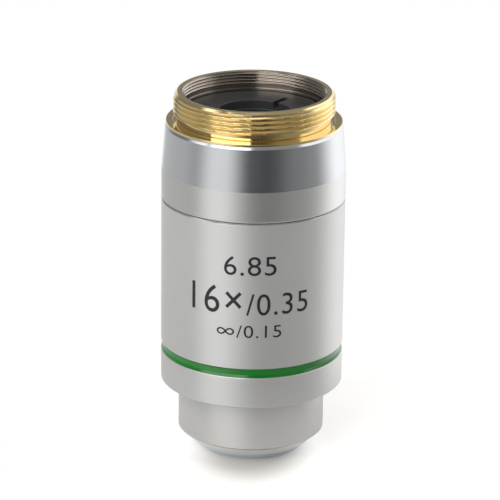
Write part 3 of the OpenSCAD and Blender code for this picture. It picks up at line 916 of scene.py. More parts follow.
@dataclass
class Shell:
    """The outer body: mounting tube, sleeves, colour band and the slotted ring in the mouth. Sizes in millimetres.

    Attributes:
        palette: the finishes.
        thread_r, thread_root_r, thread_pitch: radii over the outer thread's crests and in its roots, and its pitch.
        thread_front_root: height of a root at the front.
        thread_chamfer, thread_l, thread_runout: its lead chamfer, its length and the height of its lower end.
        thread_rows, mouth_rows: rows of faces for each pitch of the outer and of the mouth's thread.
        past_rim: how far above the rim the cutters reach.
        neck_r: radius of the neck under the thread.
        mouth_r, mouth_relief_r, mouth_pitch: crests, roots and pitch of the thread in the mouth.
        mouth_thread_l, mouth_chamfer: its length and the chamfer at the rim.
        tube_bore_r, tube_r, tube_foot_z: bore, radius and lower end of the tube.
        guide_slot_w, guide_slot_low, guide_slot_high: width of the guide slot and the centres of its round ends.
        guide_turn, guide_reach, guide_inset: its angle, and the length and inset of the box that cuts it.
        sleeve_bore_r: bore of both sleeves.
        flange_r, flange_t: radius and thickness of the seating flange.
        shoulder_r, shoulder_relief: radius and depth of the relief round the neck.
        sleeve_top_r, chamfer_h: radius at the top of the bright sleeve and height of its chamfer.
        cone_top_r, cone_h: radius at the top of the cone and its height.
        foot_drop, foot_round: how far the sleeve's foot lies below the solid's, and its rounding.
        seam_h, seam_bevel, seam_depth: from the solid's foot down to the barrel's edge, that edge's bevel, the depth.
        band_depth, band_slope_low, band_slope_high: depth of the colour band's groove and heights of its slopes.
        enamel_t, bare_edge: thickness of the enamel and the bare metal under it.
        collar_edge, collar_bore_r, ledge_z: chamfer and bore of the collar, and the height of its ledge.
        ring_outer_r, ring_hole_r, ring_edge: radii of the black ring and its chamfer.
        ring_sink: height of the land over the ring's face.
        ring_ledge, ring_ledge_depth: width and depth of the ledge in the ring's hole.
        spanner, spanner_l: the ring's slot and how far it runs outward from the hole.
    """

    palette: Palette
    thread_r: float = 12.5
    thread_root_r: float = 12.04
    thread_pitch: float = 0.75
    thread_front_root: float = 54.93
    thread_chamfer: float = 0.6
    thread_l: float = 3.5
    thread_runout: float = 0.2
    thread_rows: int = 22
    mouth_rows: int = 14
    past_rim: float = 0.1
    neck_r: float = 12.0
    mouth_r: float = 10.95
    mouth_relief_r: float = 11.15
    mouth_pitch: float = 0.5
    mouth_thread_l: float = 1.95
    mouth_chamfer: float = 0.2
    tube_bore_r: float = 10.4
    tube_r: float = 12.4
    tube_foot_z: float = 17.7
    guide_slot_w: float = 2.1
    guide_slot_low: float = 31.25
    guide_slot_high: float = 33.85
    guide_turn: float = math.pi / 2
    guide_reach: float = 4.0
    guide_inset: float = 1.0
    sleeve_bore_r: float = 12.45
    flange_r: float = 13.62
    flange_t: float = 0.35
    shoulder_r: float = 12.55
    shoulder_relief: float = 0.1
    sleeve_top_r: float = 13.45
    chamfer_h: float = 0.45
    cone_top_r: float = 13.76
    cone_h: float = 6.55
    foot_drop: float = 0.2
    foot_round: float = 0.2
    seam_h: float = 0.55
    seam_bevel: float = 0.23
    seam_depth: float = 0.6
    band_depth: float = 0.35
    band_slope_low: float = 0.45
    band_slope_high: float = 0.2
    enamel_t: float = 0.08
    bare_edge: float = 0.07
    collar_edge: float = 0.15
    collar_bore_r: float = 11.55
    ledge_z: float = 13.5
    ring_outer_r: float = 10.9
    ring_hole_r: float = 5.6
    ring_edge: float = 0.15
    ring_sink: float = 0.4
    ring_ledge: float = 0.08
    ring_ledge_depth: float = 1.35
    spanner: SpannerSlot = SpannerSlot()
    spanner_l: float = 3.0

    def build(self, cutter: ThreadCutter) -> None:
        """Make all pieces of the shell.

        Args:
            cutter: the tree that cuts threads.
        """
        self.body_tube(cutter)
        self.upper_sleeve()
        self.main_barrel()
        self.colour_ring()
        self.retaining_ring()
        SpringWinder(self.palette).build()

    def body_tube(self, cutter: ThreadCutter) -> None:
        """Make the brass tube with its two threads, its flange and the slot for the guide screw.

        Args:
            cutter: the tree that cuts threads.
        """
        rim = Workshop.heights("body_tube")[1]
        sleeve_top = Workshop.heights("upper_sleeve")[1]
        shoulder = sleeve_top + self.flange_t
        relief_floor = shoulder - self.shoulder_relief
        thread_z = rim - self.thread_l
        ring_z, ring_face = Workshop.heights("retaining_ring")
        mouth_thread_z = rim - self.mouth_thread_l
        mouth_root_z = mouth_thread_z - (self.mouth_relief_r - self.mouth_r)
        outline = Lathe.outline([
            Corner(self.tube_bore_r, self.tube_foot_z, 0.1), Corner(self.tube_r, self.tube_foot_z, 0.1),
            Corner(self.tube_r, sleeve_top, 0.0), Corner(self.flange_r, sleeve_top, 0.02),
            Corner(self.flange_r, shoulder, 0.05), Corner(self.shoulder_r, shoulder, 0.02),
            Corner(self.shoulder_r, relief_floor), Corner(self.neck_r, relief_floor),
            Corner(self.neck_r, thread_z, 0.05), Corner(self.thread_r, thread_z + self.thread_runout, 0.04),
            Corner(self.thread_r, rim - self.thread_chamfer, 0.04),
            Corner(self.thread_r - self.thread_chamfer, rim, 0.05),
            Corner(self.mouth_r + self.mouth_chamfer, rim, 0.05),
            Corner(self.mouth_r, rim - self.mouth_chamfer, 0.04), Corner(self.mouth_r, mouth_thread_z),
            Corner(self.mouth_relief_r, mouth_root_z), Corner(self.mouth_relief_r, ring_face + self.ring_sink),
            Corner(self.mouth_r, ring_face + self.ring_sink), Corner(self.mouth_r, ring_z),
            Corner(self.tube_bore_r, ring_z, 0.05),
        ])
        wall = (self.mouth_relief_r + self.thread_root_r) / 2
        outline = Lathe.refine(outline, (wall, thread_z), (self.thread_r, rim), self.thread_pitch / self.thread_rows)
        outline = Lathe.refine(outline, (self.mouth_r, mouth_root_z), (wall, rim), self.mouth_pitch / self.mouth_rows)
        tube = Lathe.spin("mounting_tube", outline)
        slot_l = self.guide_slot_high - self.guide_slot_low + self.guide_slot_w
        middle = (self.guide_slot_low + self.guide_slot_high) / 2
        Workshop.cut(
            tube, Vector((self.guide_reach, self.guide_slot_w, slot_l)),
            Vector((self.tube_r - self.guide_inset, 0.0, middle)), self.guide_turn
        )
        finish = self.palette.brass
        for crest, root, pitch, front_root, low, side in (
            (self.thread_r, self.thread_root_r, self.thread_pitch, self.thread_front_root, thread_z, Side.OUTSIDE),
            (self.mouth_r, self.mouth_relief_r, self.mouth_pitch, mouth_thread_z, mouth_root_z, Side.INSIDE),
        ):
            cutter.apply(tube, finish, {
                "Crest": crest * MM, "Root": root * MM, "Pitch": pitch * MM, "Front root": front_root * MM,
                "Low end": low * MM, "High end": (rim + self.past_rim) * MM, "Middle of wall": wall * MM,
                "Side": side.value,
            })
        Workshop.dress(tube, Body.SHELL, finish, "body_tube")

    def upper_sleeve(self) -> None:
        """Make the bright sleeve with its straight foot, cone and chamfer."""
        body_r = Workshop.barrel_r()
        foot, top = Workshop.heights("upper_sleeve")
        foot -= self.foot_drop
        cone_top = top - self.chamfer_h
        outline = Lathe.outline([
            Corner(self.sleeve_bore_r, foot, 0.02), Corner(body_r, foot, self.foot_round),
            Corner(body_r, cone_top - self.cone_h, 0.04),
            Corner(self.cone_top_r, cone_top, 0.05), Corner(self.sleeve_top_r, top, 0.15),
            Corner(self.sleeve_bore_r, top, 0.02),
        ])
        Workshop.dress(Lathe.spin("conical_sleeve", outline), Body.SHELL, self.palette.sleeve, "upper_sleeve")

    def main_barrel(self) -> None:
        """Make the satin barrel with its collar and the groove for the colour band."""
        body_r = Workshop.barrel_r()
        collar_z, top = Workshop.heights("main_barrel")
        band, band_top = Workshop.heights("colour_ring")
        seam = Workshop.heights("upper_sleeve")[0] - self.seam_h
        groove_r = body_r - self.band_depth
        seam_r = body_r - self.seam_depth
        outline = Lathe.outline([
            Corner(self.collar_bore_r, collar_z, 0.02), Corner(body_r - self.collar_edge, collar_z, 0.06),
            Corner(body_r, collar_z + self.collar_edge, 0.06), Corner(body_r, band),
            Corner(groove_r, band + self.band_slope_low, 0.05), Corner(groove_r, band_top - self.band_slope_high),
            Corner(body_r, band_top), Corner(body_r, seam),
            Corner(body_r - self.seam_bevel, seam + self.seam_bevel, 0.02),
            Corner(seam_r, seam + self.seam_bevel, 0.02),
            Corner(seam_r, top, 0.02), Corner(self.sleeve_bore_r, top, 0.02),
            Corner(self.sleeve_bore_r, self.ledge_z, 0.02), Corner(self.collar_bore_r, self.ledge_z, 0.02),
        ])
        Workshop.dress(Lathe.spin("satin_barrel", outline), Body.SHELL, self.palette.barrel, "main_barrel")

    def colour_ring(self) -> None:
        """Make the enamel that lines the groove."""
        body_r = Workshop.barrel_r()
        band, band_top = Workshop.heights("colour_ring")
        low, high = band + self.band_slope_low, band_top - self.band_slope_high
        groove_r = body_r - self.band_depth
        skin = self.enamel_t
        outline = Lathe.outline([
            Corner(body_r - self.bare_edge, band + self.bare_edge * self.band_slope_low / self.band_depth, 0.0),
            Corner(groove_r + skin, low + skin, 0.12), Corner(groove_r + skin, high - skin, 0.06),
            Corner(body_r, band_top, 0.0), Corner(groove_r, high, 0.0), Corner(groove_r, low, 0.0),
        ])
        Workshop.dress(Lathe.spin("enamel_band", outline), Body.SHELL, self.palette.enamel, "colour_ring")

    def retaining_ring(self) -> None:
        """Make the black ring in the mouth, with its two spanner slots."""
        low, face = Workshop.heights("retaining_ring")
        ledge_r, ledge_z = self.ring_hole_r + self.ring_ledge, face - self.ring_ledge_depth
        outline = Lathe.outline([
            Corner(self.ring_hole_r, low, 0.05), Corner(self.ring_outer_r, low, 0.05),
            Corner(self.ring_outer_r, face - self.ring_edge), Corner(self.ring_outer_r - self.ring_edge, face),
            Corner(ledge_r, face, 0.08), Corner(ledge_r, ledge_z, 0.02),
            Corner(self.ring_hole_r, ledge_z - self.ring_ledge, 0.02),
        ])
        ring = Lathe.spin("slotted_retaining_ring", outline)
        self.spanner.cut(ring, face, 2 * (self.ring_hole_r + self.spanner_l))
        Workshop.dress(ring, Body.SHELL, self.palette.black, "retaining_ring")


@dataclass
class SpringWinder:
    """Winds a compression spring with closed and ground ends. Sizes in millimetres.

    Attributes:
        palette: the finishes.
        mean_r: radius of the wire's centre line.
        wire_r: radius of the wire.
        active_turns: turns between the closed ends.
        closed_rise: how far a closed turn rises.
        travel: how far the nose goes in; not used.
        rings: points along the wire.
        sides: points round the wire.
    """

    palette: Palette
    mean_r: float = 9.45
    wire_r: float = 0.45
    active_turns: float = 3.5
    closed_rise: float = 0.927
    travel: float = 2.0
    rings: int = 320
    sides: int = 20

    def recipe(self) -> Recipe:
        """Build the tree that winds the wire.

        Returns:
            The tree.
        """
        recipe = Recipe(
            "spring_winder", ("Mean radius", "Wire radius", "Low end", "High end", "Active turns", "Closed rise")
        )
        given = recipe.given
        line = recipe.out("GeometryNodeCurvePrimitiveLine", {"End": (0.0, 0.0, 1.0)})
        dotted = recipe.out("GeometryNodeResampleCurve", {"Curve": line, "Count": self.rings})
        share = recipe.node("GeometryNodeSplineParameter").outputs["Factor"]
        turns = recipe.times(share, recipe.plus(given["Active turns"], 2.0))
        first = recipe.math("MINIMUM", turns, 1.0)
        last = recipe.math("MAXIMUM", recipe.minus(turns, recipe.plus(given["Active turns"], 1.0)), 0.0)
        working = recipe.minus(turns, recipe.plus(first, last))
        whole = recipe.minus(given["High end"], given["Low end"])
        rise = recipe.over(recipe.minus(whole, recipe.times(given["Closed rise"], 2.0)), given["Active turns"])
        closed = recipe.times(recipe.plus(first, last), given["Closed rise"])
        height = recipe.plus(given["Low end"], recipe.plus(closed, recipe.times(working, rise)))
        angle = recipe.times(turns, 2 * math.pi)
        place = recipe.join(
            recipe.times(given["Mean radius"], recipe.math("COSINE", angle)),
            recipe.times(given["Mean radius"], recipe.math("SINE", angle)), height,
        )
        wound = recipe.out("GeometryNodeSetPosition", {"Geometry": dotted, "Position": place})
        ring = recipe.out(
            "GeometryNodeCurvePrimitiveCircle", {"Resolution": self.sides, "Radius": given["Wire radius"]}
        )
        wire = recipe.out("GeometryNodeCurveToMesh", {"Curve": wound, "Profile Curve": ring, "Fill Caps": True})
        x, y, z = recipe.split(recipe.out("GeometryNodeInputPosition"))
        flat = recipe.math("MINIMUM", recipe.math("MAXIMUM", z, given["Low end"]), given["High end"])
        recipe.close(recipe.out("GeometryNodeSetPosition", {"Geometry": wire, "Position": recipe.join(x, y, flat)}))
        return recipe

    def build(self) -> None:
        """Wind the return spring; in the real objective it shortens as the nose goes in, which this mesh does not."""
        low, high = (corner.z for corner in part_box("return_spring"))
        spring = Workshop.place("coil_spring", bpy.data.meshes.new("coil_spring"))
        self.recipe().apply(spring, self.palette.wire, {
            "Mean radius": self.mean_r * MM, "Wire radius": self.wire_r * MM, "Low end": low, "High end": high,
            "Active turns": self.active_turns, "Closed rise": self.closed_rise * MM,
        })
        Workshop.dress(spring, Body.SHELL, self.palette.wire, "return_spring")
        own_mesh(spring)


@dataclass
class Nose:
    """The sliding body: nose sleeve, front cell, lenses and the stack behind them. Sizes in millimetres.

    Attributes:
        palette: the finishes.
        nose_r, nose_bore_r, nose_edge: radius, bore and lower chamfer of the nose sleeve.
        stop_flange_r, stop_z: radius and height of the flange that stops it in the collar.
        shelf_z: height of the sleeve's foot, on the front cell's shelf.
        cap_r, cap_gap, cap_gap_depth: radius at the top of the bevels, and the groove between them and the sleeve.
        bevel_z, bevel_r: where the lower bevel meets the upper one.
        tip_r, tip_bore_r: radii of the flat tip.
        spigot_r: radius of the spigot in the sleeve.
        lens_bore_r, lens_clear_r: bore for the front lens and the opening under it.
        seat_z, lip_t: height of the lens's seat and thickness of the lip under it.
        stack_ring_r, stack_hole_r, stack_around: radii of the ring on the stack, and its divisions.
        spanner, spanner_past: the ring's slot and how far the cut runs past it.
        front_lens_r, front_edge_t: radius and edge thickness of the front lens.
        front_hollow_r, front_bulge_r: radii of its faces.
        rear_lens_r, rear_edge_t: radius and edge thickness of the rear doublet's upper glass.
        rear_low_r, rear_high_r: radii of its faces.
        lens_chamfer, lens_steps: chamfer at a lens's edges, and points from its axis to its edge.
        screw_count, screw_d, screw_sides: number, diameter and sides of the centring screws.
        screw_slot_w, screw_slot_depth: their driver slots.
    """

    palette: Palette
    nose_r: float = 11.5
    nose_bore_r: float = 9.9
    nose_edge: float = 0.12
    stop_flange_r: float = 12.1
    stop_z: float = 13.8
    shelf_z: float = 2.75
    cap_r: float = 10.65
    cap_gap: float = 0.43
    cap_gap_depth: float = 0.6
    bevel_z: float = 1.1
    bevel_r: float = 9.6
    tip_r: float = 8.4
    tip_bore_r: float = 5.6
    spigot_r: float = 9.85
    lens_bore_r: float = 4.33
    lens_clear_r: float = 3.95
    seat_z: float = 0.8
    lip_t: float = 0.35
    stack_ring_r: float = 7.97
    stack_hole_r: float = 5.8
    stack_around: int = 192
    spanner: SpannerSlot = SpannerSlot()
    spanner_past: float = 0.5
    front_lens_r: float = 4.3
    front_edge_t: float = 2.6
    front_hollow_r: float = 13.975
    front_bulge_r: float = 7.525
    rear_lens_r: float = 5.4
    rear_edge_t: float = 2.6
    rear_low_r: float = 29.7
    rear_high_r: float = 14.04
    lens_chamfer: float = 0.04
    lens_steps: int = 24
    screw_count: int = 3
    screw_d: float = 1.6
    screw_sides: int = 48
    screw_slot_w: float = 0.35
    screw_slot_depth: float = 0.4

    def build(self) -> None:
        """Make all pieces of the nose that are made anew."""
        self.nose_sleeve()
        self.front_cell()
        self.lenses()
        self.stack_ring()
        self.centring_screws()

    def nose_sleeve(self) -> None:
        """Make the satin sleeve that comes out of the collar."""
        low, high = self.shelf_z, Workshop.heights("nose_sleeve")[1]
        outline = Lathe.outline([
            Corner(self.nose_bore_r, low, 0.02), Corner(self.nose_r - self.nose_edge, low, 0.04),
            Corner(self.nose_r, low + self.nose_edge, 0.04), Corner(self.nose_r, self.stop_z, 0.02),
            Corner(self.stop_flange_r, self.stop_z), Corner(self.stop_flange_r, high, 0.05),
            Corner(self.nose_bore_r, high, 0.05),
        ])
        Workshop.dress(Lathe.spin("sliding_nose_sleeve", outline), Body.NOSE, self.palette.satin, "nose_sleeve")

    def front_cell(self) -> None:
        """Make the bevelled front cell."""
        low, high = Workshop.heights("front_cell")
        gap_z, gap_r = self.shelf_z - self.cap_gap, self.cap_r - self.cap_gap_depth
        outline = Lathe.outline([
            Corner(self.tip_bore_r, low, 0.06), Corner(self.tip_r, low, 0.08), Corner(self.bevel_r, self.bevel_z, 0.12),
            Corner(self.cap_r, gap_z, 0.02), Corner(gap_r, gap_z, 0.02),
            Corner(gap_r, self.shelf_z, 0.02), Corner(self.spigot_r, self.shelf_z, 0.02),
            Corner(self.spigot_r, high, 0.05), Corner(self.lens_bore_r, high, 0.05),
            Corner(self.lens_bore_r, self.seat_z, 0.02), Corner(self.lens_clear_r, self.seat_z, 0.02),
            Corner(self.lens_clear_r, self.seat_z - self.lip_t, 0.04),
        ])
        Workshop.dress(Lathe.spin("bevelled_front_cell", outline), Body.NOSE, self.palette.tip, "front_cell")

    def lens_outline(self, low: float, high: float, lens_r: float, curve_low: float, curve_high: float) -> list[Point]:
        """Work out a lens's half section.

        Args:
            low: height of its lower edge.
            high: height of its upper edge.
            lens_r: its radius.
            curve_low: radius of the lower face, positive where it bulges out.
            curve_high: radius of the upper face, positive where it bulges out.

        Returns:
            The closed outline, with its ends on the axis.
        """

        def rise(curve: float, r: float) -> float:
            """Return how far a face stands out from its edge at radius r."""
            size = abs(curve)
            return math.copysign(math.sqrt(size * size - r * r) - math.sqrt(size * size - lens_r * lens_r), curve)

        steps, edge = self.lens_steps, self.lens_chamfer
        radii = [(lens_r - edge) * k / steps for k in range(steps + 1)]
        lower = [(r, low - rise(curve_low, r)) for r in radii]
        upper = [(r, high + rise(curve_high, r)) for r in reversed(radii)]
        rim = [(lens_r, z) for z in (low + edge, low + 2 * edge, high - 2 * edge, high - edge)]
        return [*lower, *rim, *upper]

    def lenses(self) -> None:
        """Make the front lens, hollow towards the object, and the rear glass, which is seen through the mouth."""
        front = Workshop.heights("front_lens")[0]
        rear = Workshop.heights("rear_flint")[1]
        front_outline = self.lens_outline(
            front, front + self.front_edge_t, self.front_lens_r, -self.front_hollow_r, self.front_bulge_r
        )
        rear_outline = self.lens_outline(
            rear - self.rear_edge_t, rear, self.rear_lens_r, -self.rear_low_r, -self.rear_high_r
        )
        for name, outline, finish, node in (
            ("front_lens_glass", front_outline, self.palette.crown, "front_lens"),
            ("rear_lens_glass", rear_outline, self.palette.flint, "rear_flint"),
        ):
            Workshop.dress(Lathe.spin(name, outline, LENS_AROUND), Body.NOSE, finish, node)

    def stack_ring(self) -> None:
        """Make the slotted ring that clamps the lens stack."""
        low, high = Workshop.heights("stack_ring")
        outline = Lathe.outline([
            Corner(self.stack_hole_r, low, 0.04), Corner(self.stack_ring_r, low, 0.04),
            Corner(self.stack_ring_r, high, 0.06), Corner(self.stack_hole_r, high, 0.1),
        ])
        ring = Lathe.spin("slotted_stack_ring", outline, self.stack_around)
        self.spanner.cut(ring, high, 2 * (self.stack_ring_r + self.spanner_past))
        Workshop.dress(ring, Body.NOSE, self.palette.black, "stack_ring")

    def screw_recipe(self) -> Recipe:
        """Build the tree that sets slotted screws round a barrel.

        Returns:
            The tree.
        """
        recipe = Recipe(
            "screws_round_barrel", ("Inner end", "Outer end", "Height", "Diameter", "Slot width", "Slot depth"),
            ("Count",)
        )
        given = recipe.given
        length = recipe.minus(given["Outer end"], given["Inner end"])
        middle = recipe.times(recipe.plus(given["Outer end"], given["Inner end"]), 0.5)
        rod = recipe.out(
            "GeometryNodeMeshCylinder",
            {"Vertices": self.screw_sides, "Radius": recipe.times(given["Diameter"], 0.5), "Depth": length},
            fill_type="NGON"
        )
        wide, deep = recipe.times(given["Diameter"], 2.0), recipe.times(given["Slot depth"], 2.0)
        bar = recipe.out("GeometryNodeMeshCube", {"Size": recipe.join(given["Slot width"], wide, deep)})
        end = recipe.join(0.0, 0.0, recipe.times(length, 0.5))
        lifted = recipe.out("GeometryNodeTransform", {"Geometry": bar, "Translation": end})
        slotted = recipe.out(
            "GeometryNodeMeshBoolean", {"Mesh 1": rod, "Mesh 2": lifted}, operation="DIFFERENCE", solver="EXACT"
        )
        outward = recipe.out("GeometryNodeTransform", {"Geometry": slotted, "Rotation": Euler((0.0, math.pi / 2, 0.0))})
        points = recipe.out("GeometryNodeMeshCircle", {"Vertices": given["Count"], "Radius": middle})
        lift = recipe.join(0.0, 0.0, given["Height"])
        raised = recipe.out("GeometryNodeSetPosition", {"Geometry": points, "Offset": lift})
        turn = recipe.times(recipe.out("GeometryNodeInputIndex"), recipe.over(2 * math.pi, given["Count"]))
        facing = recipe.out("FunctionNodeEulerToRotation", {0: recipe.join(0.0, 0.0, turn)})
        copies = {"Points": raised, "Instance": outward, "Rotation": facing}
        recipe.close(recipe.out("GeometryNodeInstanceOnPoints", copies))
        return recipe

    def centring_screws(self) -> None:
        """Make the grub screws that centre one lens cell."""
        low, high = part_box("centring_screws")
        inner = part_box("centring_cell")[1].x
        screws = Workshop.place("centring_grub_screws", bpy.data.meshes.new("centring_grub_screws"))
        self.screw_recipe().apply(screws, self.palette.screw, {
            "Count": self.screw_count, "Inner end": inner, "Outer end": high.x, "Height": (low.z + high.z) / 2,
            "Diameter": self.screw_d * MM, "Slot width": self.screw_slot_w * MM,
            "Slot depth": self.screw_slot_depth * MM,
        })
        Workshop.dress(screws, Body.NOSE, self.palette.screw, "centring_screws")


@dataclass(frozen=True)
class Inscription:
    """One run of numerals on the barrel.

    Attributes:
        text: the numerals.
        left: arc from the front to the run's left end, in millimetres, positive to the right.
        right: arc from the front to its right end.
        base: height of its base line.
        tall: height of its numerals.
    """

    text: str
    left: float
    right: float
    base: float
    tall: float


@dataclass
class Marking:
    """Plain numerals printed on the barrel.

    Attributes:
        palette: the finishes.
        runs: what is printed.
        proud: how far the ink stands out, in millimetres.
        sunk: how far it reaches below the surface.
        strip: width of the flat strips that follow the barrel's curve.
        digit_h: height of a numeral in the built-in font at size 1.
        spacing: how far the numerals are spaced out.
        curve_steps: points along each curve of a numeral.
        weld: points of a numeral closer than this are one point, at size 1.
    """

    palette: Palette
    runs: tuple[Inscription, ...] = (
        Inscription("6.85", -4.4, 3.7, 32.6, 3.2),
        Inscription("16×", -9.95, -1.6, 26.25, 4.7),
        Inscription("/0.35", -0.9, 9.05, 26.2, 3.6),
        Inscription("∞/0.15", -5.5, 4.6, 22.5, 2.1),
    )
    proud: float = 0.006
    sunk: float = 0.01
    strip: float = 0.4
    digit_h: float = 0.729
    spacing: float = 1.08
    curve_steps: int = 6
    weld: float = 1e-5

    def build(self) -> None:
        """Print all runs as one piece."""
        form = bmesh.new()
        for run in self.runs:
            self.print_run(form, run)
        mesh = bpy.data.meshes.new("barrel_numerals")
        form.to_mesh(mesh)
        form.free()
        Workshop.dress(Workshop.place("barrel_numerals", mesh), Body.SHELL, self.palette.ink)

    def letters(self, text: str) -> bmesh.types.BMesh:
        """Set numerals flat, at size 1, half above and half below the ground plane.

        Args:
            text: the numerals.

        Returns:
            Their closed mesh.
        """
        curve = bpy.data.curves.new("run", "FONT")
        curve.body, curve.size, curve.extrude, curve.resolution_u = text, 1.0, 0.5, self.curve_steps
        curve.space_character = self.spacing
        holder = Workshop.place("run", curve)
        bpy.context.view_layer.update()
        letters = bmesh.new()
        letters.from_mesh(Workshop.plain_mesh(holder))
        bpy.data.objects.remove(holder)
        bmesh.ops.remove_doubles(letters, verts=letters.verts, dist=self.weld)
        return letters

    def print_run(self, form: bmesh.types.BMesh, run: Inscription) -> None:
        """Add one run to a mesh, wrapped round the barrel.

        Args:
            form: the mesh to add to.
            run: the run.
        """
        radius = Workshop.barrel_r()
        letters = self.letters(run.text)
        corners = np.array([v.co for v in letters.verts])
        low, high = corners.min(0), corners.max(0)
        across = (run.right - run.left) / (high[0] - low[0])
        up = run.tall / self.digit_h
        for vertex in letters.verts:
            vertex.co = Vector((
                run.left + (vertex.co.x - low[0]) * across, run.base + vertex.co.y * up,
                -self.sunk if vertex.co.z < 0 else self.proud,
            ))
        cuts = math.ceil((run.right - run.left) / self.strip)
        for k in range(1, cuts):
            at = run.left + (run.right - run.left) * k / cuts
            geometry = letters.verts[:] + letters.edges[:] + letters.faces[:]
            bmesh.ops.bisect_plane(letters, geom=geometry, plane_co=(at, 0, 0), plane_no=(1, 0, 0))
        for vertex in letters.verts:
            turn = vertex.co.x / radius
            r = (radius + vertex.co.z) * MM
            vertex.co = Vector((r * math.sin(turn), -r * math.cos(turn), vertex.co.y * MM))
        bmesh.ops.recalc_face_normals(letters, faces=letters.faces)
        done = bpy.data.meshes.new("run")
        letters.to_mesh(done)
        letters.free()
        form.from_mesh(done)


@dataclass(frozen=True)
class Stop:
    """A direction round the objective and how bright the studio's wall is there.

    Attributes:
        azimuth: degrees round from the camera, positive to the right.
        level: brightness.
    """

    azimuth: float
    level: float


@dataclass
class Studio:
    """Camera, floor and surroundings. Sizes in millimetres, directions in degrees.

    A pair gives where a change starts and ends. Heights of walls are degrees above the horizon.

    Attributes:
        distance, elevation, roll: the camera's distance, its height over the horizon and its turn about its view.
        aim_x, aim_z: the point it looks at.
        lens, sensor, clip: its focal length, the width of its sensor, and its near and far limit in metres.
        floor_r, floor_t, floor_around: radius, thickness and divisions of the floor.
        floor_colour, floor_roughness: the floor's surface.
        pool_y, pool_across: centre of the painted shadow's pool round the foot, and how much narrower it is across than
            along.
        pool_from, pool_to: where the floor's painted glow starts outwards and where it is full.
        rim_lift, mirrored: how strong that painted glow gets, and how much of it a mirrored view shows.
        lean, lean_from: how far the lower walls' panels lean to the right with height, and where they don't lean.
        white: brightness of the backdrop behind the objective.
        table, table_to: brightness below the horizon, and where it gives way to the walls.
        backdrop_from: azimuths, on both sides, where the backdrop starts.
        upper_from: heights where the lower walls give way to the upper walls.
        side_box: brightness of the soft box high on the left.
        side_box_edge, side_box_far: azimuths of its edges nearer to and farther from the camera.
        side_box_foot, side_box_head: heights of its lower and upper edges.
        cornice, cornice_rise: brightness of the dark cornice and how gently it starts.
        cornice_left, cornice_right, cornice_turn: heights of its foot on either side, and azimuths between them.
        ceiling, ceiling_from: brightness of the ceiling and the heights where it starts.
        upper_stops, stops: the upper and lower walls all round, from -180 to 180.
    """

    distance: float = 471.27
    elevation: float = 19.317
    roll: float = 0.697
    aim_x: float = -0.42
    aim_z: float = 31.75
    lens: float = 217.06
    sensor: float = 36.0
    clip: Range = (0.01, 10.0)
    floor_r: float = 38.0
    floor_t: float = 0.02
    floor_around: int = 128
    floor_colour: Colour = (0.66, 0.64, 0.605)
    floor_roughness: float = 0.9
    pool_y: float = -5.0
    pool_across: float = 1.5
    pool_from: float = 5.5
    pool_to: float = 17.0
    rim_lift: float = 0.6
    mirrored: float = 0.4
    lean: float = 0.373
    lean_from: float = -9.5
    white: float = 1.0
    table: float = 0.95
    table_to: Range = (-45.0, -25.0)
    backdrop_from: Range = (150.0, 170.0)
    upper_from: Range = (5.0, 16.0)
    side_box: float = 1.8
    side_box_edge: Range = (-76.0, -68.0)
    side_box_far: Range = (-108.0, -98.0)
    side_box_foot: Range = (28.0, 38.0)
    side_box_head: Range = (52.0, 62.0)
    cornice: float = 0.35
    cornice_rise: float = 8.0
    cornice_left: float = 60.0
    cornice_right: float = 42.0
    cornice_turn: Range = (-12.0, 0.0)
    ceiling: float = 1.7
    ceiling_from: Range = (72.0, 84.0)
    upper_stops: tuple[Stop, ...] = (
        Stop(-180, 0.25), Stop(-67, 0.25), Stop(-65, 2.8), Stop(-6.5, 2.8), Stop(-4.5, 0.07), Stop(14, 0.1),
        Stop(40, 0.33), Stop(69, 0.4), Stop(76, 1.5), Stop(150, 1.5), Stop(165, 0.27), Stop(180, 0.27),
    )
    stops: tuple[Stop, ...] = (
        Stop(-180, 1.1), Stop(-165, 0.85), Stop(-150, 0.66), Stop(-100, 0.6), Stop(-78, 0.5), Stop(-50, 1.02),
        Stop(-38, 1.0), Stop(-4, 0.12), Stop(16, 0.09), Stop(60, 0.28), Stop(80, 0.36), Stop(127, 1.5),
        Stop(180, 1.1),
    )

    def build(self) -> None:
        """Make the camera, the floor and the surroundings."""
        self.camera()
        self.floor()
        self.surroundings()
        bpy.context.scene.view_settings.view_transform = "Standard"

    def camera(self) -> None:
        """Set the camera where the photograph was taken from."""
        data = bpy.data.cameras.new("studio_camera")
        data.lens, data.sensor_width, data.sensor_fit = self.lens, self.sensor, "HORIZONTAL"
        data.clip_start, data.clip_end = self.clip
        camera = Workshop.place("studio_camera", data)
        up = math.radians(self.elevation)
        aim = Vector((self.aim_x, 0.0, self.aim_z)) * MM
        camera.location = aim + Vector((0.0, -math.cos(up), math.sin(up))) * self.distance * MM
        look = Euler((math.pi / 2 - up, 0.0, 0.0)).to_matrix().to_4x4()
        turned = look @ Matrix.Rotation(math.radians(self.roll), 4, "Z")
        camera.rotation_euler = turned.to_euler()
        bpy.context.scene.camera = camera

    @staticmethod
    def shown(graph: Graph, mirrored_share: Value) -> Socket:
        """Return how far a ray shows the bright background.

        Args:
            graph: the tree's graph.
            mirrored_share: how far rays that come by way of metal or glass show it.

        Returns:
            1 for the camera's own rays, the share for mirrored ones, and 0 for the light on the object.
        """
        path = graph.node("ShaderNodeLightPath").outputs
        bounced = graph.math("MAXIMUM", path["Is Glossy Ray"], path["Is Transmission Ray"])
        return graph.math("MAXIMUM", path["Is Camera Ray"], graph.times(bounced, mirrored_share))

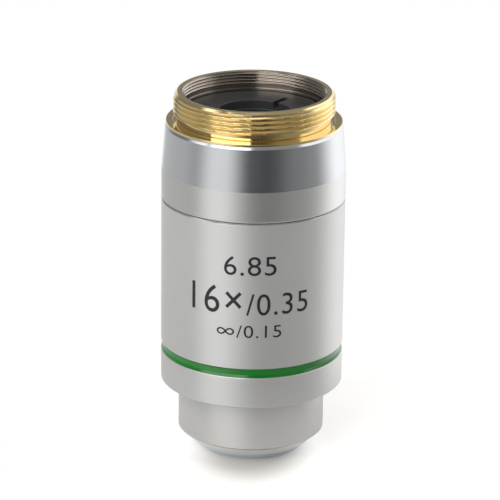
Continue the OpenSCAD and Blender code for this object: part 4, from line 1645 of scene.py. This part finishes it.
    def floor(self) -> None:
        """Lay the pale floor, which keeps the objective's shadow, with a painted glow that rises outwards from a pool
        round the foot and so paints the shadow's shape.
        """
        outline = [(0.0, -self.floor_t), (self.floor_r, -self.floor_t), (self.floor_r, 0.0), (0.0, 0.0)]
        floor = Lathe.spin("floor", outline, self.floor_around)
        material = bpy.data.materials.new("pale_floor")
        material.use_nodes = True
        graph = Graph(material.node_tree)
        x, y, _ = graph.split(graph.node("ShaderNodeTexCoord").outputs["Object"])
        # Painted light: the floor glows more away from an elliptical pool round the foot, which paints the shadow's
        # edge
        away = graph.radius(graph.times(x, self.pool_across), graph.minus(y, self.pool_y * MM))
        lift = graph.ease(away, self.pool_from * MM, self.pool_to * MM, 0.0, self.rim_lift)
        graph.fill(material.node_tree.nodes["Principled BSDF"], {
            "Base Color": (*self.floor_colour, 1.0), "Roughness": self.floor_roughness, "Specular IOR Level": 0.0,
            "Emission Color": WHITE, "Emission Strength": graph.times(self.shown(graph, self.mirrored), lift),
        })
        floor.data.materials.append(material)

    @staticmethod
    def wheel(graph: Graph, azimuth: Socket, stops: Sequence[Stop]) -> Socket:
        """Return the brightness of the walls all round the objective.

        Args:
            graph: the world's graph.
            azimuth: the direction looked at, in degrees.
            stops: the brightness at chosen azimuths, from -180 to 180.

        Returns:
            The brightness.
        """
        peak = max(stop.level for stop in stops)
        made = graph.node("ShaderNodeValToRGB", {0: graph.span(azimuth, -180.0, 180.0, 0.0, 1.0)})
        ramp = made.color_ramp
        ramp.interpolation = "EASE"
        ramp.elements[0].position, ramp.elements[1].position = 0.0, 1.0
        ends = list(ramp.elements)
        for element, stop in zip(ends, (stops[0], stops[-1])):
            element.color = (stop.level / peak,) * 3 + (1.0,)
        for stop in stops[1:-1]:
            element = ramp.elements.new((stop.azimuth + 180.0) / 360.0)
            element.color = (stop.level / peak,) * 3 + (1.0,)
        return graph.times(made.outputs[0], peak)

    def room(self, graph: Graph, height: Socket, azimuth: Socket, above: Socket) -> Socket:
        """Work out how bright the studio is in a direction.

        Args:
            graph: the world's graph.
            height: degrees above the horizon.
            azimuth: degrees round from the camera.
            above: 0 on the lower walls and 1 on the upper walls.

        Returns:
            The brightness.
        """
        leaning = graph.times(graph.minus(height, self.lean_from), self.lean)
        seen = graph.math("WRAP", graph.minus(azimuth, leaning), 180.0, -180.0)
        room = graph.between(above, self.wheel(graph, seen, self.stops), self.wheel(graph, azimuth, self.upper_stops))
        box = graph.times(graph.ease(height, *self.side_box_foot), graph.ease(height, *self.side_box_head, 1.0, 0.0))
        box = graph.times(box, graph.ease(azimuth, *self.side_box_edge, 1.0, 0.0))
        box = graph.times(box, graph.ease(azimuth, *self.side_box_far))
        room = graph.between(box, room, self.side_box)
        foot = graph.ease(azimuth, *self.cornice_turn, self.cornice_left, self.cornice_right)
        room = graph.between(graph.ease(graph.minus(height, foot), 0.0, self.cornice_rise), room, self.cornice)
        room = graph.between(graph.ease(height, *self.table_to), self.table, room)
        return graph.between(graph.ease(height, *self.ceiling_from), room, self.ceiling)

    def surroundings(self) -> None:
        """Light the scene with soft studio walls and show the camera a white background."""
        world = bpy.data.worlds.new("studio")
        bpy.context.scene.world = world
        world.use_nodes = True
        graph = Graph(world.node_tree)
        x, y, z = graph.split(graph.node("ShaderNodeTexCoord").outputs["Generated"])
        height = graph.times(graph.math("ARCSINE", z), DEGREES)
        azimuth = graph.times(graph.math("ARCTAN2", x, graph.times(y, -1.0)), DEGREES)
        above = graph.ease(height, *self.upper_from)
        straight = graph.ease(graph.math("ABSOLUTE", azimuth), *self.backdrop_from)
        backdrop = graph.times(straight, graph.minus(1.0, above))
        room = self.room(graph, height, azimuth, above)
        graph.fill(world.node_tree.nodes["Background"], {
            "Color": WHITE, "Strength": graph.between(self.shown(graph, backdrop), room, self.white),
        })


def dress_packed_nodes(palette: Palette) -> None:
    """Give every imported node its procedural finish, by the record's slots.

    Args:
        palette: the finishes.
    """
    finishes = palette.by_slot()
    slots = {part["node"]: part["material_slot"] for part in frame["record"]["subparts"]}
    for name, node in frame["nodes"].items():
        finish = finishes[slots[name]]
        node.data.materials.clear()
        node.data.materials.append(finish.material())
        LOG.info("%s keeps its packed form, with %s", name, finish.name)


def main() -> None:
    """Build the objective's looks and its studio."""
    logging.basicConfig(level=logging.INFO, format="%(name)s: %(message)s")
    palette = Palette()
    dress_packed_nodes(palette)
    Shell(palette).build(ThreadCutter())
    Nose(palette).build()
    Marking(palette).build()
    Studio().build()


if __name__ == "__main__":
    main()
